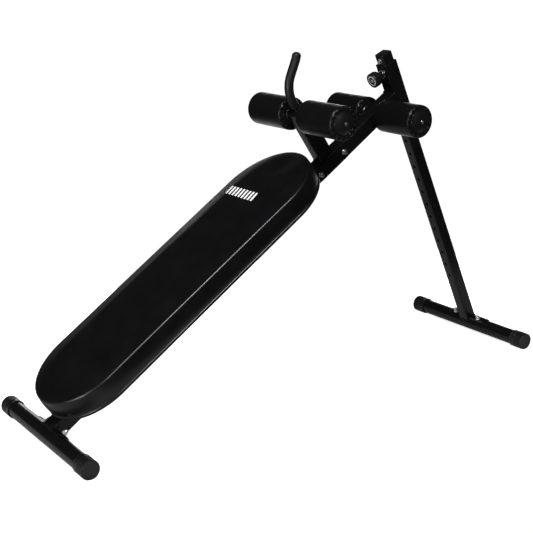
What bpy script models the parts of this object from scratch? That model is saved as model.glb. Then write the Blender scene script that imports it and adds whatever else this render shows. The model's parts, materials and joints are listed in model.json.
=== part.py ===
"""Decline sit-up bench: a padded board on a sloping beam, held up by a sliding leg.

Metres, +Z up. +X runs from the low foot to the raised end, +Y is the bench's left side.
Every length below is the real size of the piece. Three frames carry the parts:
- the beam frame, at the low foot's centre: X along the beam, Z square to its top face;
- the leg frame, at the rear foot's centre: Z up the leg, -X out of its holed face;
- the world, for the two feet.
A piece is modelled along its own Z, then turned to lie along an axis of its frame.
"""
import math

import bmesh
import bpy
from mathutils import Vector

# --- driving sizes, in metres -------------------------------------------------------------
GAP = 0.0003                    # left between pieces that touch
FOOT_SPREAD = 1.652             # between the centres of the two foot tubes
FOOT_HALF = 0.268               # half a foot's width, over its caps
FOOT_RADIUS = 0.025
CAP_RADIUS = 0.0285
CAP_LENGTH = 0.050
CAP_END = 0.003
FOOT_HEIGHT = 0.0275            # the caps are cut flat 1 mm deep where they stand
BEAM_TILT = math.radians(33.83)
BEAM_SIDE = 0.050
LEG_LEAN = math.radians(24.19)
LEG_SIDE = 0.040
LEG_TOP = 1.077                 # along the leg, from the rear foot's centre
WALL = 0.002
SADDLE = 0.004
SADDLE_HALF = 0.082
STUD_Y = 0.054

HOLE_PITCH = 0.050
FIRST_HOLE = 0.220
HOLE_COUNT = 17
HOLE_RADIUS = 0.0055
PIN_HEIGHT = 1.020              # the pin stands in the top hole
STOP_HEIGHT = 1.061
HOUSING_END = 0.0600            # along the pin's axis, from the leg's centre line
KNOB_FACE = 0.0750
KNOB_RADIUS = 0.0245
SLEEVE_LOW = 0.865
SLEEVE_HIGH = 1.045

POST_AT = 1.188                 # along the beam, from the low foot's centre
POST_LONG = 0.054
POST_WIDE = 0.040
POST_TOP = 0.207
JOINT_AT = 1.158                # where the two lengths of beam meet
PLATES_AT = 1.1895              # the middle of the side plates that join them
JOINT_BOLTS = 0.055             # from the plates' middle to each bolt
JOINT_PLATE = 0.003
BAR_RADIUS = 0.0125
KNEE_AT = (1.189, 0.1872)       # roller axes: along the beam, and above its centre line
FOOT_AT = (1.4296, -0.0024)
ROLLER_RADIUS = 0.051
ROLLER_CAP = 0.0045
KNEE_SPAN = (0.0395, 0.2110)    # from the bench's middle to a roller's two ends
FOOT_SPAN = (0.0415, 0.2035)

PAD_START = 0.0485
PAD_LENGTH = 1.0715
PAD_HALF = 0.163
PAD_LOW_ROUND = 0.165
PAD_HIGH_ROUND = 0.180
PAD_BOTTOM = 0.0290
PAD_TOP = 0.1030
BOARD_THICK = 0.012
BRACKET_THICK = 0.003
BRACKETS_AT = (0.290, 0.890)
SCREW_Y = 0.075

HANDLE_RADIUS = 0.011
GRIP_RADIUS = 0.014
ROUND = 20                      # sides of a round piece
ROLLER_SIDES = 24
BOLT_SIDES = 12

# --- turns that lay a piece's own Z along an axis of its frame ----------------------------
QUARTER = math.pi / 2
TURNS = {
    "+x": (0, QUARTER, 0),
    "-x": (0, -QUARTER, 0),
    "+y": (-QUARTER, 0, 0),
    "-y": (QUARTER, 0, 0),
    "+z": (0, 0, 0),
}

# --- finishes: colour, roughness, metallic ------------------------------------------------
FINISHES = {
    "black_steel": ((0.012, 0.012, 0.013), 0.38, 0.0),
    "zinc": ((0.62, 0.63, 0.65), 0.28, 1.0),
    "spring_steel": ((0.35, 0.36, 0.38), 0.35, 1.0),
    "black_plastic": ((0.016, 0.016, 0.017), 0.50, 0.0),
    "black_foam": ((0.011, 0.011, 0.012), 0.60, 0.0),
    "black_grip": ((0.014, 0.014, 0.015), 0.45, 0.0),
    "black_vinyl": ((0.010, 0.010, 0.011), 0.42, 0.0),
    "board": ((0.16, 0.11, 0.07), 0.80, 0.0),
}


def clear_scene():
    """Remove every object that the file holds."""
    for thing in list(bpy.data.objects):
        bpy.data.objects.remove(thing, do_unlink=True)


def finish(node, slot):
    """A Principled material of the slot's own colour, one for each node."""
    colour, roughness, metallic = FINISHES[slot]
    material = bpy.data.materials.new(f"{node}_{slot}")
    material.use_nodes = True
    shader = material.node_tree.nodes["Principled BSDF"]
    shader.inputs["Base Color"].default_value = (*colour, 1.0)
    shader.inputs["Roughness"].default_value = roughness
    shader.inputs["Metallic"].default_value = metallic
    material.diffuse_color = (*colour, 1.0)
    return material


def empty(name, place, tilt=0.0, parent=None, turn=None):
    """A frame that parts hang on, tilted about Y or turned onto an axis."""
    frame = bpy.data.objects.new(name, None)
    frame.location = place
    frame.rotation_euler = TURNS[turn] if turn else (0, tilt, 0)
    frame.parent = parent
    bpy.context.scene.collection.objects.link(frame)
    return frame


def make(name, mesh_data, slot, parent, place=(0, 0, 0), along="+z"):
    """An object from a bmesh, with its own finish, hung on its frame."""
    bmesh.ops.recalc_face_normals(mesh_data, faces=mesh_data.faces)
    mesh = bpy.data.meshes.new(name)
    mesh_data.to_mesh(mesh)
    mesh_data.free()
    mesh.shade_smooth()
    mesh.set_sharp_from_angle(angle=math.radians(32))
    part = bpy.data.objects.new(name, mesh)
    part.parent = parent
    part.location = place
    part.rotation_euler = TURNS[along]
    part.data.materials.append(finish(name, slot))
    bpy.context.scene.collection.objects.link(part)
    return part


def cut(part, mesh_data, parent, place, along):
    """Cut a shape out of a part; the cutter stays as a hidden guide."""
    cutter = make(f"cut_{part.name}_{len(part.modifiers)}", mesh_data, "zinc", parent, place, along)
    cutter.hide_render = True
    cutter.display_type = "WIRE"
    modifier = part.modifiers.new(f"cut_{len(part.modifiers)}", "BOOLEAN")
    modifier.operation = "DIFFERENCE"
    modifier.solver = "EXACT"
    modifier.object = cutter


# --- rings: closed sections at a height along a piece's own Z -----------------------------
def circle(radius, z, sides=ROUND):
    """Points round a circle."""
    turns = [2 * math.pi * i / sides for i in range(sides)]
    return [Vector((radius * math.cos(t), radius * math.sin(t), z)) for t in turns]


def hexagon(flats, z, sides=BOLT_SIDES):
    """A hexagon measured across its flats, with extra points along each side."""
    points = []
    for i in range(sides):
        turn = 2 * math.pi * i / sides
        off_flat = (turn % (math.pi / 3)) - math.pi / 6
        radius = flats / 2 / math.cos(off_flat)
        points.append(Vector((radius * math.cos(turn), radius * math.sin(turn), z)))
    return points


def rectangle(wide, deep, corner, z, steps=3):
    """A rectangle with rounded corners: wide along X, deep along Y."""
    points = []
    for quadrant in range(4):
        right = 1 if quadrant in (0, 3) else -1
        front = 1 if quadrant in (0, 1) else -1
        centre = Vector((right * (wide / 2 - corner), front * (deep / 2 - corner), z))
        for step in range(steps + 1):
            turn = QUARTER * (quadrant + step / steps)
            points.append(centre + Vector((math.cos(turn), math.sin(turn), 0)) * corner)
    return points


def skin(rings, loop=False, shape=None):
    """Join rings of equal count into one closed solid, in a new shape or beside others.

    A loop joins the last ring to the first, as in a tube. Otherwise both ends are filled.
    """
    shape = shape or bmesh.new()
    rows = [[shape.verts.new(point) for point in ring] for ring in rings]
    count = len(rows[0])
    pairs = list(zip(rows, rows[1:]))
    if loop:
        pairs.append((rows[-1], rows[0]))
    for low, high in pairs:
        for i in range(count):
            j = (i + 1) % count
            shape.faces.new((low[i], low[j], high[j], high[i]))
    if not loop:
        shape.faces.new(rows[0])
        shape.faces.new(rows[-1])
    return shape


def turned(profile, loop=False, sides=ROUND):
    """A solid of revolution from (radius, height) pairs."""
    return skin([circle(radius, z, sides) for radius, z in profile], loop)


def rod(radius, low, high, sides=ROUND):
    """A plain cylinder, also used as a drill."""
    return turned([(radius, low), (radius, high)], sides=sides)


def drill_row(radius, low, high, offsets, sides=16):
    """A row of drills, spaced along the piece's own X."""
    row = bmesh.new()
    for offset in offsets:
        aside = Vector((offset, 0, 0))
        skin([[point + aside for point in circle(radius, z, sides)] for z in (low, high)], shape=row)
    return row


def round_tube(radius, low, high):
    """A round tube, open at both ends."""
    inner = radius - WALL
    return turned([(radius, low), (radius, high), (inner, high), (inner, low)], loop=True)


def square_tube(side, low, high, deep=None):
    """A rectangular tube with rounded corners, open at both ends."""
    deep = deep or side
    outer = [rectangle(side, deep, 0.004, z) for z in (low, high)]
    inner = [rectangle(side - 2 * WALL, deep - 2 * WALL, 0.002, z) for z in (high, low)]
    return skin(outer + inner, loop=True)


def slab(outline, low, high):
    """A flat plate from a 2-D outline."""
    return skin([[Vector((x, y, z)) for x, y in outline] for z in (low, high)])


# --- fasteners ----------------------------------------------------------------------------
def hex_bolt(grip):
    """A bolt with a washer under its hex head; Z=0 is the face it bears on."""
    return skin([
        hexagon(0.0115, -0.0082), hexagon(0.0130, -0.0074), hexagon(0.0130, -0.0020),
        circle(0.0090, -0.0020, BOLT_SIDES), circle(0.0090, -GAP, BOLT_SIDES),
        circle(0.0040, -GAP, BOLT_SIDES), circle(0.0040, grip, BOLT_SIDES),
    ])


def inside_bolt(head_at, tip_at):
    """A bolt whose hex head lies inside a tube, with its thread standing out."""
    return skin([
        hexagon(0.0130, head_at - 0.0055), hexagon(0.0130, head_at),
        circle(0.0040, head_at, BOLT_SIDES), circle(0.0040, tip_at, BOLT_SIDES),
    ])


def dome_nut():
    """A domed nut on its washer; Z=0 is the face it bears on."""
    return skin([
        circle(0.0030, 0.0170, BOLT_SIDES), circle(0.0058, 0.0140, BOLT_SIDES),
        circle(0.0064, 0.0094, BOLT_SIDES), hexagon(0.0140, 0.0090), hexagon(0.0140, 0.0020),
        circle(0.0095, 0.0020, BOLT_SIDES), circle(0.0095, GAP, BOLT_SIDES),
        circle(0.0043, GAP, BOLT_SIDES), circle(0.0043, 0.0110, BOLT_SIDES),
    ])


def pad_screw(length):
    """A pan-head wood screw; Z=0 is the face it bears on."""
    return turned([
        (0.0035, -0.0034), (0.0058, -0.0015), (0.0058, -GAP), (0.0028, -GAP), (0.0028, length),
    ], sides=10)


# --- feet ---------------------------------------------------------------------------------
def foot(name, x, frame, along):
    """A foot: its tube, two caps, the saddle welded to its beam or leg, and two bolts."""
    middle = (x, 0, FOOT_HEIGHT)
    tube_end = FOOT_HALF - CAP_END - GAP
    tube = make(f"{name}_tube", round_tube(FOOT_RADIUS, -tube_end, tube_end), "black_steel",
                None, middle, "+y")
    inner = FOOT_RADIUS + GAP
    outer = inner + SADDLE
    saddle = make(f"{name}_saddle", saddle_shell(inner, outer), "black_steel", frame, (0, 0, 0), along)
    for side, sign in (("near", -1), ("far", 1)):
        cap = make(f"{name}_cap_{side}", foot_cap(), "black_plastic", None,
                   (x, sign * FOOT_HALF, FOOT_HEIGHT), "+y" if sign > 0 else "-y")
        cut(cap, floor_block(), None, (x, sign * FOOT_HALF, 0), "+z")
        at = (0, sign * STUD_Y, 0)
        head_at = FOOT_RADIUS - 0.0045
        make(f"{name}_bolt_{side}", inside_bolt(head_at, outer + 0.0095), "zinc", frame, at, along)
        nut_at = Vector(at) + axis_of(along) * outer
        make(f"{name}_nut_{side}", dome_nut(), "zinc", frame, nut_at, along)
        for part in (tube, saddle):
            cut(part, rod(0.0043, 0.010, 0.040, 16), frame, at, along)


def axis_of(along):
    """The unit vector of a named axis."""
    sign = -1 if along[0] == "-" else 1
    return Vector([sign * float(along[1] == letter) for letter in "xyz"])


def foot_cap():
    """A cup pushed over a foot tube's end; its outer face is at Z=0."""
    bore = FOOT_RADIUS + GAP
    return turned([
        (CAP_RADIUS - 0.003, 0), (CAP_RADIUS - 0.0008, -0.0010), (CAP_RADIUS, -0.0030),
        (CAP_RADIUS, -CAP_LENGTH), (bore, -CAP_LENGTH), (bore, -CAP_END),
    ], sides=32)


def floor_block():
    """A block under the floor, which cuts a cap's flat sole."""
    block = bmesh.new()
    bmesh.ops.create_cube(block, size=0.2)
    bmesh.ops.translate(block, verts=block.verts, vec=(0, 0, -0.1))
    return block


def saddle_shell(inner, outer):
    """A curved plate that hugs a foot tube on the side that its own Z points to."""
    reach = math.radians(62)
    steps = 12
    turns = [reach * (2 * i / steps - 1) for i in range(steps + 1)]
    rings = []
    for y in (-SADDLE_HALF, SADDLE_HALF):
        arc = [Vector((outer * math.sin(t), y, outer * math.cos(t))) for t in turns]
        back = [Vector((inner * math.sin(t), y, inner * math.cos(t))) for t in reversed(turns)]
        rings.append(arc + back)
    return skin(rings)


# --- beam, post and handle ----------------------------------------------------------------
def beam_end_at(height):
    """How far along the beam the sleeve's front face lies, at a height above its centre line."""
    between = BEAM_TILT - LEG_LEAN
    face = BEAM_SIDE / 2 + GAP
    return (FOOT_SPREAD * math.cos(LEG_LEAN) - face + height * math.sin(between)) / math.cos(between)


def beams(frame):
    """Two lengths of square tube, joined under the post by bolted side plates."""
    low_start = FOOT_RADIUS - 0.005
    lower = make("lower_beam", square_tube(BEAM_SIDE, low_start, JOINT_AT - GAP), "black_steel",
                 frame, (0, 0, 0), "+x")
    saddle_outer = FOOT_RADIUS + 2 * GAP + SADDLE
    cut(lower, rod(saddle_outer, -0.1, 0.1, 32), frame, (0, 0, 0), "+y")
    rings = []
    for side, corner in ((BEAM_SIDE, 0.004), (BEAM_SIDE - 2 * WALL, 0.002)):
        start = rectangle(side, side, corner, JOINT_AT)
        # the tube's own X points down, so its mitred end depends on -X
        end = [Vector((p.x, p.y, beam_end_at(-p.x))) for p in start]
        rings.append([start, end] if side == BEAM_SIDE else [end, start])
    upper = make("upper_beam", skin(rings[0] + rings[1], loop=True), "black_steel", frame,
                 (0, 0, 0), "+x")
    cut(upper, rod(BAR_RADIUS + GAP, -0.04, 0.04), frame, (FOOT_AT[0], 0, FOOT_AT[1]), "+y")
    half = BEAM_SIDE / 2
    outline = rectangle(2 * JOINT_BOLTS + 0.034, 0.044, 0.012, 0, 4)
    plates = []
    for side, along in (("near", "-y"), ("far", "+y")):
        mesh = slab([(p.x, p.y) for p in outline], half + GAP, half + GAP + JOINT_PLATE)
        plates.append(make(f"joint_plate_{side}", mesh, "black_steel", frame, (PLATES_AT, 0, 0), along))
    face = half + GAP + JOINT_PLATE
    for place, sign in (("low", -1), ("high", 1)):
        at = PLATES_AT + sign * JOINT_BOLTS
        make(f"joint_bolt_{place}", hex_bolt(2 * face + 0.0100), "zinc", frame, (at, -face, 0), "+y")
        make(f"joint_nut_{place}", dome_nut(), "zinc", frame, (at, face, 0), "+y")
        for part in plates + [lower if sign < 0 else upper]:
            cut(part, rod(0.0043, -0.05, 0.05, 16), frame, (at, 0, 0), "+y")


def knee_post(frame):
    """The upright on the beam, open below and closed on top, drilled for bar and handle."""
    base = BEAM_SIDE / 2 + GAP
    outer = [rectangle(POST_LONG, POST_WIDE, 0.004, z) for z in (POST_TOP, base)]
    inside = (POST_LONG - 2 * WALL, POST_WIDE - 2 * WALL)
    inner = [rectangle(*inside, 0.002, z) for z in (base, POST_TOP - 0.003)]
    post = make("knee_post", skin(outer + inner), "black_steel", frame, (POST_AT, 0, 0))
    cut(post, rod(BAR_RADIUS + GAP, -0.04, 0.04), frame, (KNEE_AT[0], 0, KNEE_AT[1]), "+y")
    cut(post, rod(HANDLE_RADIUS + GAP, POST_TOP - 0.004, POST_TOP + 0.01, 16), frame,
        (POST_AT, 0, 0), "+z")


def handle_path():
    """Centre line of the handle in the beam frame, as (point, direction) pairs.

    It rises square to the beam, turns forward along an arc, runs straight, and ends in a
    gentle upward curve.
    """
    runs = ((0.032, 0.0, 2), (0.0865, -56.0, 7), (0.042, 0.0, 1), (0.019, 11.0, 2))
    at = Vector((POST_AT, 0, POST_TOP - 0.0028))
    heading = QUARTER
    stations = [(at.copy(), heading)]
    for length, bend, steps in runs:
        for _ in range(steps):
            heading += math.radians(bend) / steps / 2
            at += Vector((math.cos(heading), 0, math.sin(heading))) * (length / steps)
            heading += math.radians(bend) / steps / 2
            stations.append((at.copy(), heading))
    return stations


def ring_at(station, radius, ahead=0.0, sides=12):
    """A circle square to the handle's path."""
    at, heading = station
    forward = Vector((math.cos(heading), 0, math.sin(heading)))
    across = Vector((-math.sin(heading), 0, math.cos(heading)))
    points = []
    for i in range(sides):
        turn = 2 * math.pi * i / sides
        points.append(at + forward * ahead + across * radius * math.cos(turn)
                      + Vector((0, radius * math.sin(turn), 0)))
    return points


def handle(frame):
    """A bent tube in the post's top, with a rubber grip closed over its end."""
    path = handle_path()
    outer = [ring_at(station, HANDLE_RADIUS) for station in path]
    inner = [ring_at(station, HANDLE_RADIUS - WALL) for station in reversed(path)]
    make("handle_tube", skin(outer + inner, loop=True), "black_steel", frame)
    covered = path[1:]
    bore = HANDLE_RADIUS + GAP
    rings = [ring_at(covered[-1], bore, 0.0006)]
    rings += [ring_at(station, bore) for station in reversed(covered)]
    rings += [ring_at(covered[0], GRIP_RADIUS - 0.001)]
    rings += [ring_at(covered[0], GRIP_RADIUS, 0.001)]
    rings += [ring_at(station, GRIP_RADIUS) for station in covered[1:]]
    for lift in (35, 70):
        angle = math.radians(lift)
        radius = GRIP_RADIUS * math.cos(angle)
        rings.append(ring_at(covered[-1], radius, GRIP_RADIUS * 0.8 * math.sin(angle)))
    make("handle_grip", skin(rings), "black_grip", frame)


# --- rollers ------------------------------------------------------------------------------
def crossbar(name, at, reach, frame):
    """The tube that carries a pair of rollers."""
    make(name, round_tube(BAR_RADIUS, -reach, reach), "black_steel", frame, (at[0], 0, at[1]), "+y")


def roller(name, at, span, along, frame):
    """A foam sleeve with a cap in each end, which turns on its bar.

    Its own Z runs outwards along the bar from the bench's middle.
    """
    axle = empty(f"{name}_axle", (at[0], 0, at[1]), parent=frame, turn=along)
    inner_end, outer_end = span
    foam_low = inner_end + ROLLER_CAP + GAP
    foam_high = outer_end - ROLLER_CAP - GAP
    bore = 0.0160
    edge = 0.002
    make(f"{name}_foam", turned([
        (ROLLER_RADIUS - edge, foam_low), (ROLLER_RADIUS, foam_low + edge),
        (ROLLER_RADIUS, foam_high - edge), (ROLLER_RADIUS - edge, foam_high),
        (bore, foam_high), (bore, foam_low)], loop=True, sides=ROLLER_SIDES), "black_foam", axle)
    hub = bore - GAP
    slip = BAR_RADIUS + 0.0004
    rim = ROLLER_RADIUS - 0.0004
    low_face = foam_low - GAP
    make(f"{name}_inner_cap", turned([
        (rim - 0.0010, inner_end), (rim, low_face), (hub, low_face),
        (hub, low_face + 0.030), (slip, low_face + 0.030), (slip, inner_end - 0.003),
        (0.0180, inner_end - 0.003), (0.0180, inner_end)], loop=True, sides=ROLLER_SIDES), "black_plastic", axle)
    high_face = foam_high + GAP
    dome = 0.0320
    make(f"{name}_outer_cap", turned([
        (0.0060, outer_end + 0.0100), (0.0190, outer_end + 0.0078), (dome - 0.002, outer_end + 0.0020),
        (dome, outer_end), (rim - 0.0010, outer_end), (rim, high_face), (hub, high_face),
        (hub, high_face - 0.030), (slip, high_face - 0.030), (slip, high_face + 0.0008)],
        sides=ROLLER_SIDES), "black_plastic", axle)


# --- pad ----------------------------------------------------------------------------------
def pad_outline(inset, steps=12):
    """Plan of the pad: straight sides closed by half an ellipse at each end."""
    half = PAD_HALF - inset
    points = []
    high_centre = PAD_START + PAD_LENGTH - PAD_HIGH_ROUND
    for step in range(steps + 1):
        turn = math.pi * step / steps - QUARTER
        points.append((high_centre + (PAD_HIGH_ROUND - inset) * math.cos(turn), half * math.sin(turn)))
    low_centre = PAD_START + PAD_LOW_ROUND
    for step in range(steps + 1):
        turn = math.pi * step / steps + QUARTER
        points.append((low_centre + (PAD_LOW_ROUND - inset) * math.cos(turn), half * math.sin(turn)))
    return points


def outline_ring(inset, height):
    """The pad's plan at a height above the beam's centre line."""
    return [Vector((x, y, height)) for x, y in pad_outline(inset)]


def pad(frame):
    """Cushion, the board set into it, and the two brackets that the board is screwed to."""
    pocket = 0.007
    board_low = PAD_BOTTOM - 0.0004
    board_high = board_low + BOARD_THICK
    make("pad_cushion", skin([
        outline_ring(0.010, PAD_TOP), outline_ring(0.003, PAD_TOP - 0.002),
        outline_ring(0.0, PAD_TOP - 0.008), outline_ring(0.0, PAD_BOTTOM + 0.003),
        outline_ring(0.002, PAD_BOTTOM), outline_ring(pocket, PAD_BOTTOM),
        outline_ring(pocket, board_high + GAP)]), "black_vinyl", frame)
    board = make("pad_board", skin([
        outline_ring(pocket + GAP, board_low), outline_ring(pocket + GAP, board_high)]), "board", frame)
    bracket_low = BEAM_SIDE / 2 + GAP
    for place, along_beam in zip(("low", "high"), BRACKETS_AT):
        plan = rectangle(0.040, 2 * SCREW_Y + 0.034, 0.008, 0)
        bracket = make(f"pad_bracket_{place}",
                       slab([(p.x, p.y) for p in plan], bracket_low, bracket_low + BRACKET_THICK),
                       "black_steel", frame, (along_beam, 0, 0))
        for side, sign in (("near", -1), ("far", 1)):
            at = (along_beam, sign * SCREW_Y, bracket_low)
            make(f"pad_screw_{place}_{side}", pad_screw(0.0125), "zinc", frame, at)
            cut(bracket, rod(0.0031, -0.01, 0.01, 12), frame, at, "+z")
            cut(board, rod(0.0031, -0.01, 0.0135, 12), frame, at, "+z")


# --- sliding leg --------------------------------------------------------------------------
def leg(frame):
    """The holed tube that slides in the sleeve, its end cap and its stop bolt."""
    tube = make("leg_tube", square_tube(LEG_SIDE, FOOT_RADIUS - 0.005, LEG_TOP), "black_steel", frame)
    saddle_outer = FOOT_RADIUS + 2 * GAP + SADDLE
    cut(tube, rod(saddle_outer, -0.1, 0.1, 32), frame, (0, 0, 0), "+y")
    heights = [FIRST_HOLE + i * HOLE_PITCH for i in range(HOLE_COUNT)]
    cut(tube, drill_row(HOLE_RADIUS, 0.010, 0.030, heights), frame, (0, 0, 0), "-x")
    cut(tube, rod(0.0043, 0.010, 0.030, 16), frame, (0, 0, STOP_HEIGHT), "-x")
    inside = LEG_SIDE - 2 * WALL - 2 * GAP
    make("leg_end_cap", skin([
        rectangle(inside, inside, 0.002, LEG_TOP - 0.004), rectangle(inside, inside, 0.002, LEG_TOP + GAP),
        rectangle(LEG_SIDE, LEG_SIDE, 0.004, LEG_TOP + GAP),
        rectangle(LEG_SIDE, LEG_SIDE, 0.004, LEG_TOP + 0.0035),
        rectangle(LEG_SIDE - 0.004, LEG_SIDE - 0.004, 0.003, LEG_TOP + 0.005)]), "black_plastic", frame)
    make("stop_bolt", hex_bolt(0.018), "zinc", frame, (-LEG_SIDE / 2, 0, STOP_HEIGHT), "+x")


def sleeve(frame):
    """The tube that guides the leg, with a plastic bush in each mouth."""
    tube = make("adjust_sleeve", square_tube(BEAM_SIDE, SLEEVE_LOW, SLEEVE_HIGH), "black_steel", frame)
    cut(tube, rod(0.0056, 0.015, 0.030, 16), frame, (0, 0, PIN_HEIGHT), "-x")
    outside = BEAM_SIDE - 2 * WALL - 2 * GAP
    hole = LEG_SIDE + 2 * GAP
    for place, mouth, inward in (("upper", SLEEVE_HIGH, -1), ("lower", SLEEVE_LOW, 1)):
        lip = mouth - inward * GAP
        outer_lip = lip - inward * 0.0030
        depth = mouth + inward * 0.0140
        make(f"sleeve_bush_{place}", skin([
            rectangle(outside, outside, 0.002, depth), rectangle(outside, outside, 0.002, lip),
            rectangle(BEAM_SIDE, BEAM_SIDE, 0.004, lip), rectangle(BEAM_SIDE, BEAM_SIDE, 0.004, outer_lip),
            rectangle(hole, hole, 0.002, outer_lip), rectangle(hole, hole, 0.002, depth)], loop=True),
            "black_plastic", frame)


def plunger(frame):
    """The spring pin that locks the leg: housing, pin, spring and knob, along the pin's axis."""
    axis = empty("plunger_axis", (0, 0, PIN_HEIGHT), parent=frame, turn="-x")
    start = BEAM_SIDE / 2 + GAP
    make("plunger_housing", turned([
        (0.0130, start), (0.0130, start + 0.005), (0.0110, start + 0.007), (0.0110, HOUSING_END),
        (0.0039, HOUSING_END), (0.0039, HOUSING_END - 0.003), (0.0082, HOUSING_END - 0.003), (0.0082, start)],
        loop=True), "zinc", axis)
    make("plunger_pin", turned([
        (0.0040, 0.0130), (0.0050, 0.0142), (0.0050, 0.0270), (0.0078, 0.0270), (0.0078, 0.0290),
        (0.0035, 0.0290), (0.0035, KNOB_FACE - 0.005)], sides=24), "zinc", axis)
    make("plunger_spring", coil(0.0058, 0.0006, 0.0302, HOUSING_END - 0.004, 5), "spring_steel", axis)
    make("plunger_knob", turned([
        (KNOB_RADIUS - 0.0040, KNOB_FACE), (KNOB_RADIUS - 0.0010, KNOB_FACE - 0.0015),
        (KNOB_RADIUS, KNOB_FACE - 0.0040), (KNOB_RADIUS, KNOB_FACE - 0.0180),
        (KNOB_RADIUS - 0.0020, KNOB_FACE - 0.0240), (KNOB_RADIUS - 0.0085, KNOB_FACE - 0.0250),
        (0.0130, KNOB_FACE - 0.0250), (0.0130, KNOB_FACE - 0.0120), (0.0038, KNOB_FACE - 0.0120),
        (0.0038, KNOB_FACE - 0.0047)],
        sides=ROLLER_SIDES), "black_plastic", axis)


def coil(radius, wire, low, high, turns):
    """A compression spring: a round wire carried along a helix."""
    per_turn = 8
    count = turns * per_turn + 1
    rings = []
    for i in range(count):
        angle = 2 * math.pi * i / per_turn
        outward = Vector((math.cos(angle), math.sin(angle), 0))
        centre = outward * radius + Vector((0, 0, low + (high - low) * i / (count - 1)))
        rings.append([centre + outward * wire * math.cos(a) + Vector((0, 0, wire * math.sin(a)))
                      for a in (2 * math.pi * k / 4 for k in range(4))])
    return skin(rings)


def main():
    """Build the bench."""
    clear_scene()
    half_spread = FOOT_SPREAD / 2
    beam_frame = empty("beam_frame", (-half_spread, 0, FOOT_HEIGHT), -BEAM_TILT)
    leg_frame = empty("leg_frame", (half_spread, 0, FOOT_HEIGHT), -LEG_LEAN)
    foot("low_foot", -half_spread, beam_frame, "+x")
    foot("rear_foot", half_spread, leg_frame, "+z")
    beams(beam_frame)
    knee_post(beam_frame)
    handle(beam_frame)
    crossbar("knee_crossbar", KNEE_AT, KNEE_SPAN[1] - ROLLER_CAP, beam_frame)
    crossbar("foot_crossbar", FOOT_AT, FOOT_SPAN[1] - ROLLER_CAP, beam_frame)
    for side, along in (("near", "-y"), ("far", "+y")):
        roller(f"knee_roller_{side}", KNEE_AT, KNEE_SPAN, along, beam_frame)
        roller(f"foot_roller_{side}", FOOT_AT, FOOT_SPAN, along, beam_frame)
    pad(beam_frame)
    leg(leg_frame)
    sleeve(leg_frame)
    plunger(leg_frame)


main()
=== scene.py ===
"""Looks of a decline sit-up bench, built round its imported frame.

Metres, +Z up, +X from the low foot to the raised end, +Y the bench's left side.
Two local frames carry the work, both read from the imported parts:
- the beam frame, at the low foot's centre: X along the beam, Z square to its top face;
- the leg frame, at the rear foot's centre: Z up the leg, -X out of its holed face.
Every new piece is a grid of points from a formula, placed through one of these frames.
"""
import json
import logging
import math
from collections.abc import Callable
from dataclasses import dataclass, field, replace
from enum import Enum

import bmesh
import bpy
import numpy as np
from mathutils import Matrix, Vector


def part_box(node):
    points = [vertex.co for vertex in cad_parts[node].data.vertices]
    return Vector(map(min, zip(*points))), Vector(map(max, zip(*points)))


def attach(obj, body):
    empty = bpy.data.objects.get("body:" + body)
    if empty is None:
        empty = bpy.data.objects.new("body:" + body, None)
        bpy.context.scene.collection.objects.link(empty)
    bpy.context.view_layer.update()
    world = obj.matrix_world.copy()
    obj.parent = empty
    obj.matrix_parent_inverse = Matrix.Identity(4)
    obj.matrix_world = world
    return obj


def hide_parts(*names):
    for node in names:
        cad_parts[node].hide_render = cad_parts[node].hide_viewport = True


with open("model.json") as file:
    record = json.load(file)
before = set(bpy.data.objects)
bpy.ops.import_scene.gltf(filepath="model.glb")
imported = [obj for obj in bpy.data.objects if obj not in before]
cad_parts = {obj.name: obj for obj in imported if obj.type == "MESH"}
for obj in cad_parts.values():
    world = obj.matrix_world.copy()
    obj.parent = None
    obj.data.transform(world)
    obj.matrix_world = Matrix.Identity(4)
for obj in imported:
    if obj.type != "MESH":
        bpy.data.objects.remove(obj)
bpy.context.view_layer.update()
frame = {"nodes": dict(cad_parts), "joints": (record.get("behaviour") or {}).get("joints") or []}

LOG = logging.getLogger("bench")
Tree = bpy.types.NodeTree
Socket = bpy.types.NodeSocket
GAP = 0.0003                # left between pieces that touch
MERGE = 1e-6                # points closer than this are one point
FULL_TURN = 2 * math.pi
NOISE_LOW, NOISE_HIGH = 0.3, 0.7    # nearly all of a soft noise lies between these
BOLT_HOLE = 0.0043          # radius of the hole for an 8 mm bolt, in plates and washers
WASHER_TOP = 0.0020         # height of a bolt washer's upper face over the seat
SEAT_LIFT = 0.0008          # how far a weld's middle line lies outside the tube it runs round
WELD_STEP = 0.0011          # distance between the circles of a weld bead
ACROSS = np.array([0.0, 1.0, 0.0])  # the way the bench is wide


# --- local frames -------------------------------------------------------------------------
class Along(Enum):
    """The axis of a local frame that a piece's own Z is laid on, as rows for its X, Y and Z."""

    FORWARD = ((0, 0, -1), (0, 1, 0), (1, 0, 0))
    BACKWARD = ((0, 0, 1), (0, 1, 0), (-1, 0, 0))
    FAR = ((1, 0, 0), (0, 0, -1), (0, 1, 0))
    NEAR = ((1, 0, 0), (0, 0, 1), (0, -1, 0))
    UP = ((1, 0, 0), (0, 1, 0), (0, 0, 1))


@dataclass(frozen=True)
class Axes:
    """A local frame: an origin, and its three axes as the rows of a matrix."""

    origin: np.ndarray
    rows: np.ndarray

    def place(self, points: np.ndarray) -> np.ndarray:
        """Carry points from this frame to the world: origin + x X + y Y + z Z."""
        return self.origin + points @ self.rows

    def at(self, x: float, y: float, z: float, along: Along = Along.UP) -> "Axes":
        """Make a frame at a point of this one, with its Z laid along a named axis.

        Args:
            x: First coordinate in this frame.
            y: Second coordinate.
            z: Third coordinate.
            along: Which of this frame's axes the new Z lies on.

        Returns:
            The new frame.
        """
        return Axes(self.place(np.array([x, y, z])), np.array(along.value, float) @ self.rows)


def centre(node: str) -> np.ndarray:
    """Middle of a CAD node's box at rest."""
    return np.mean(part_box(node), axis=0)


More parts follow.
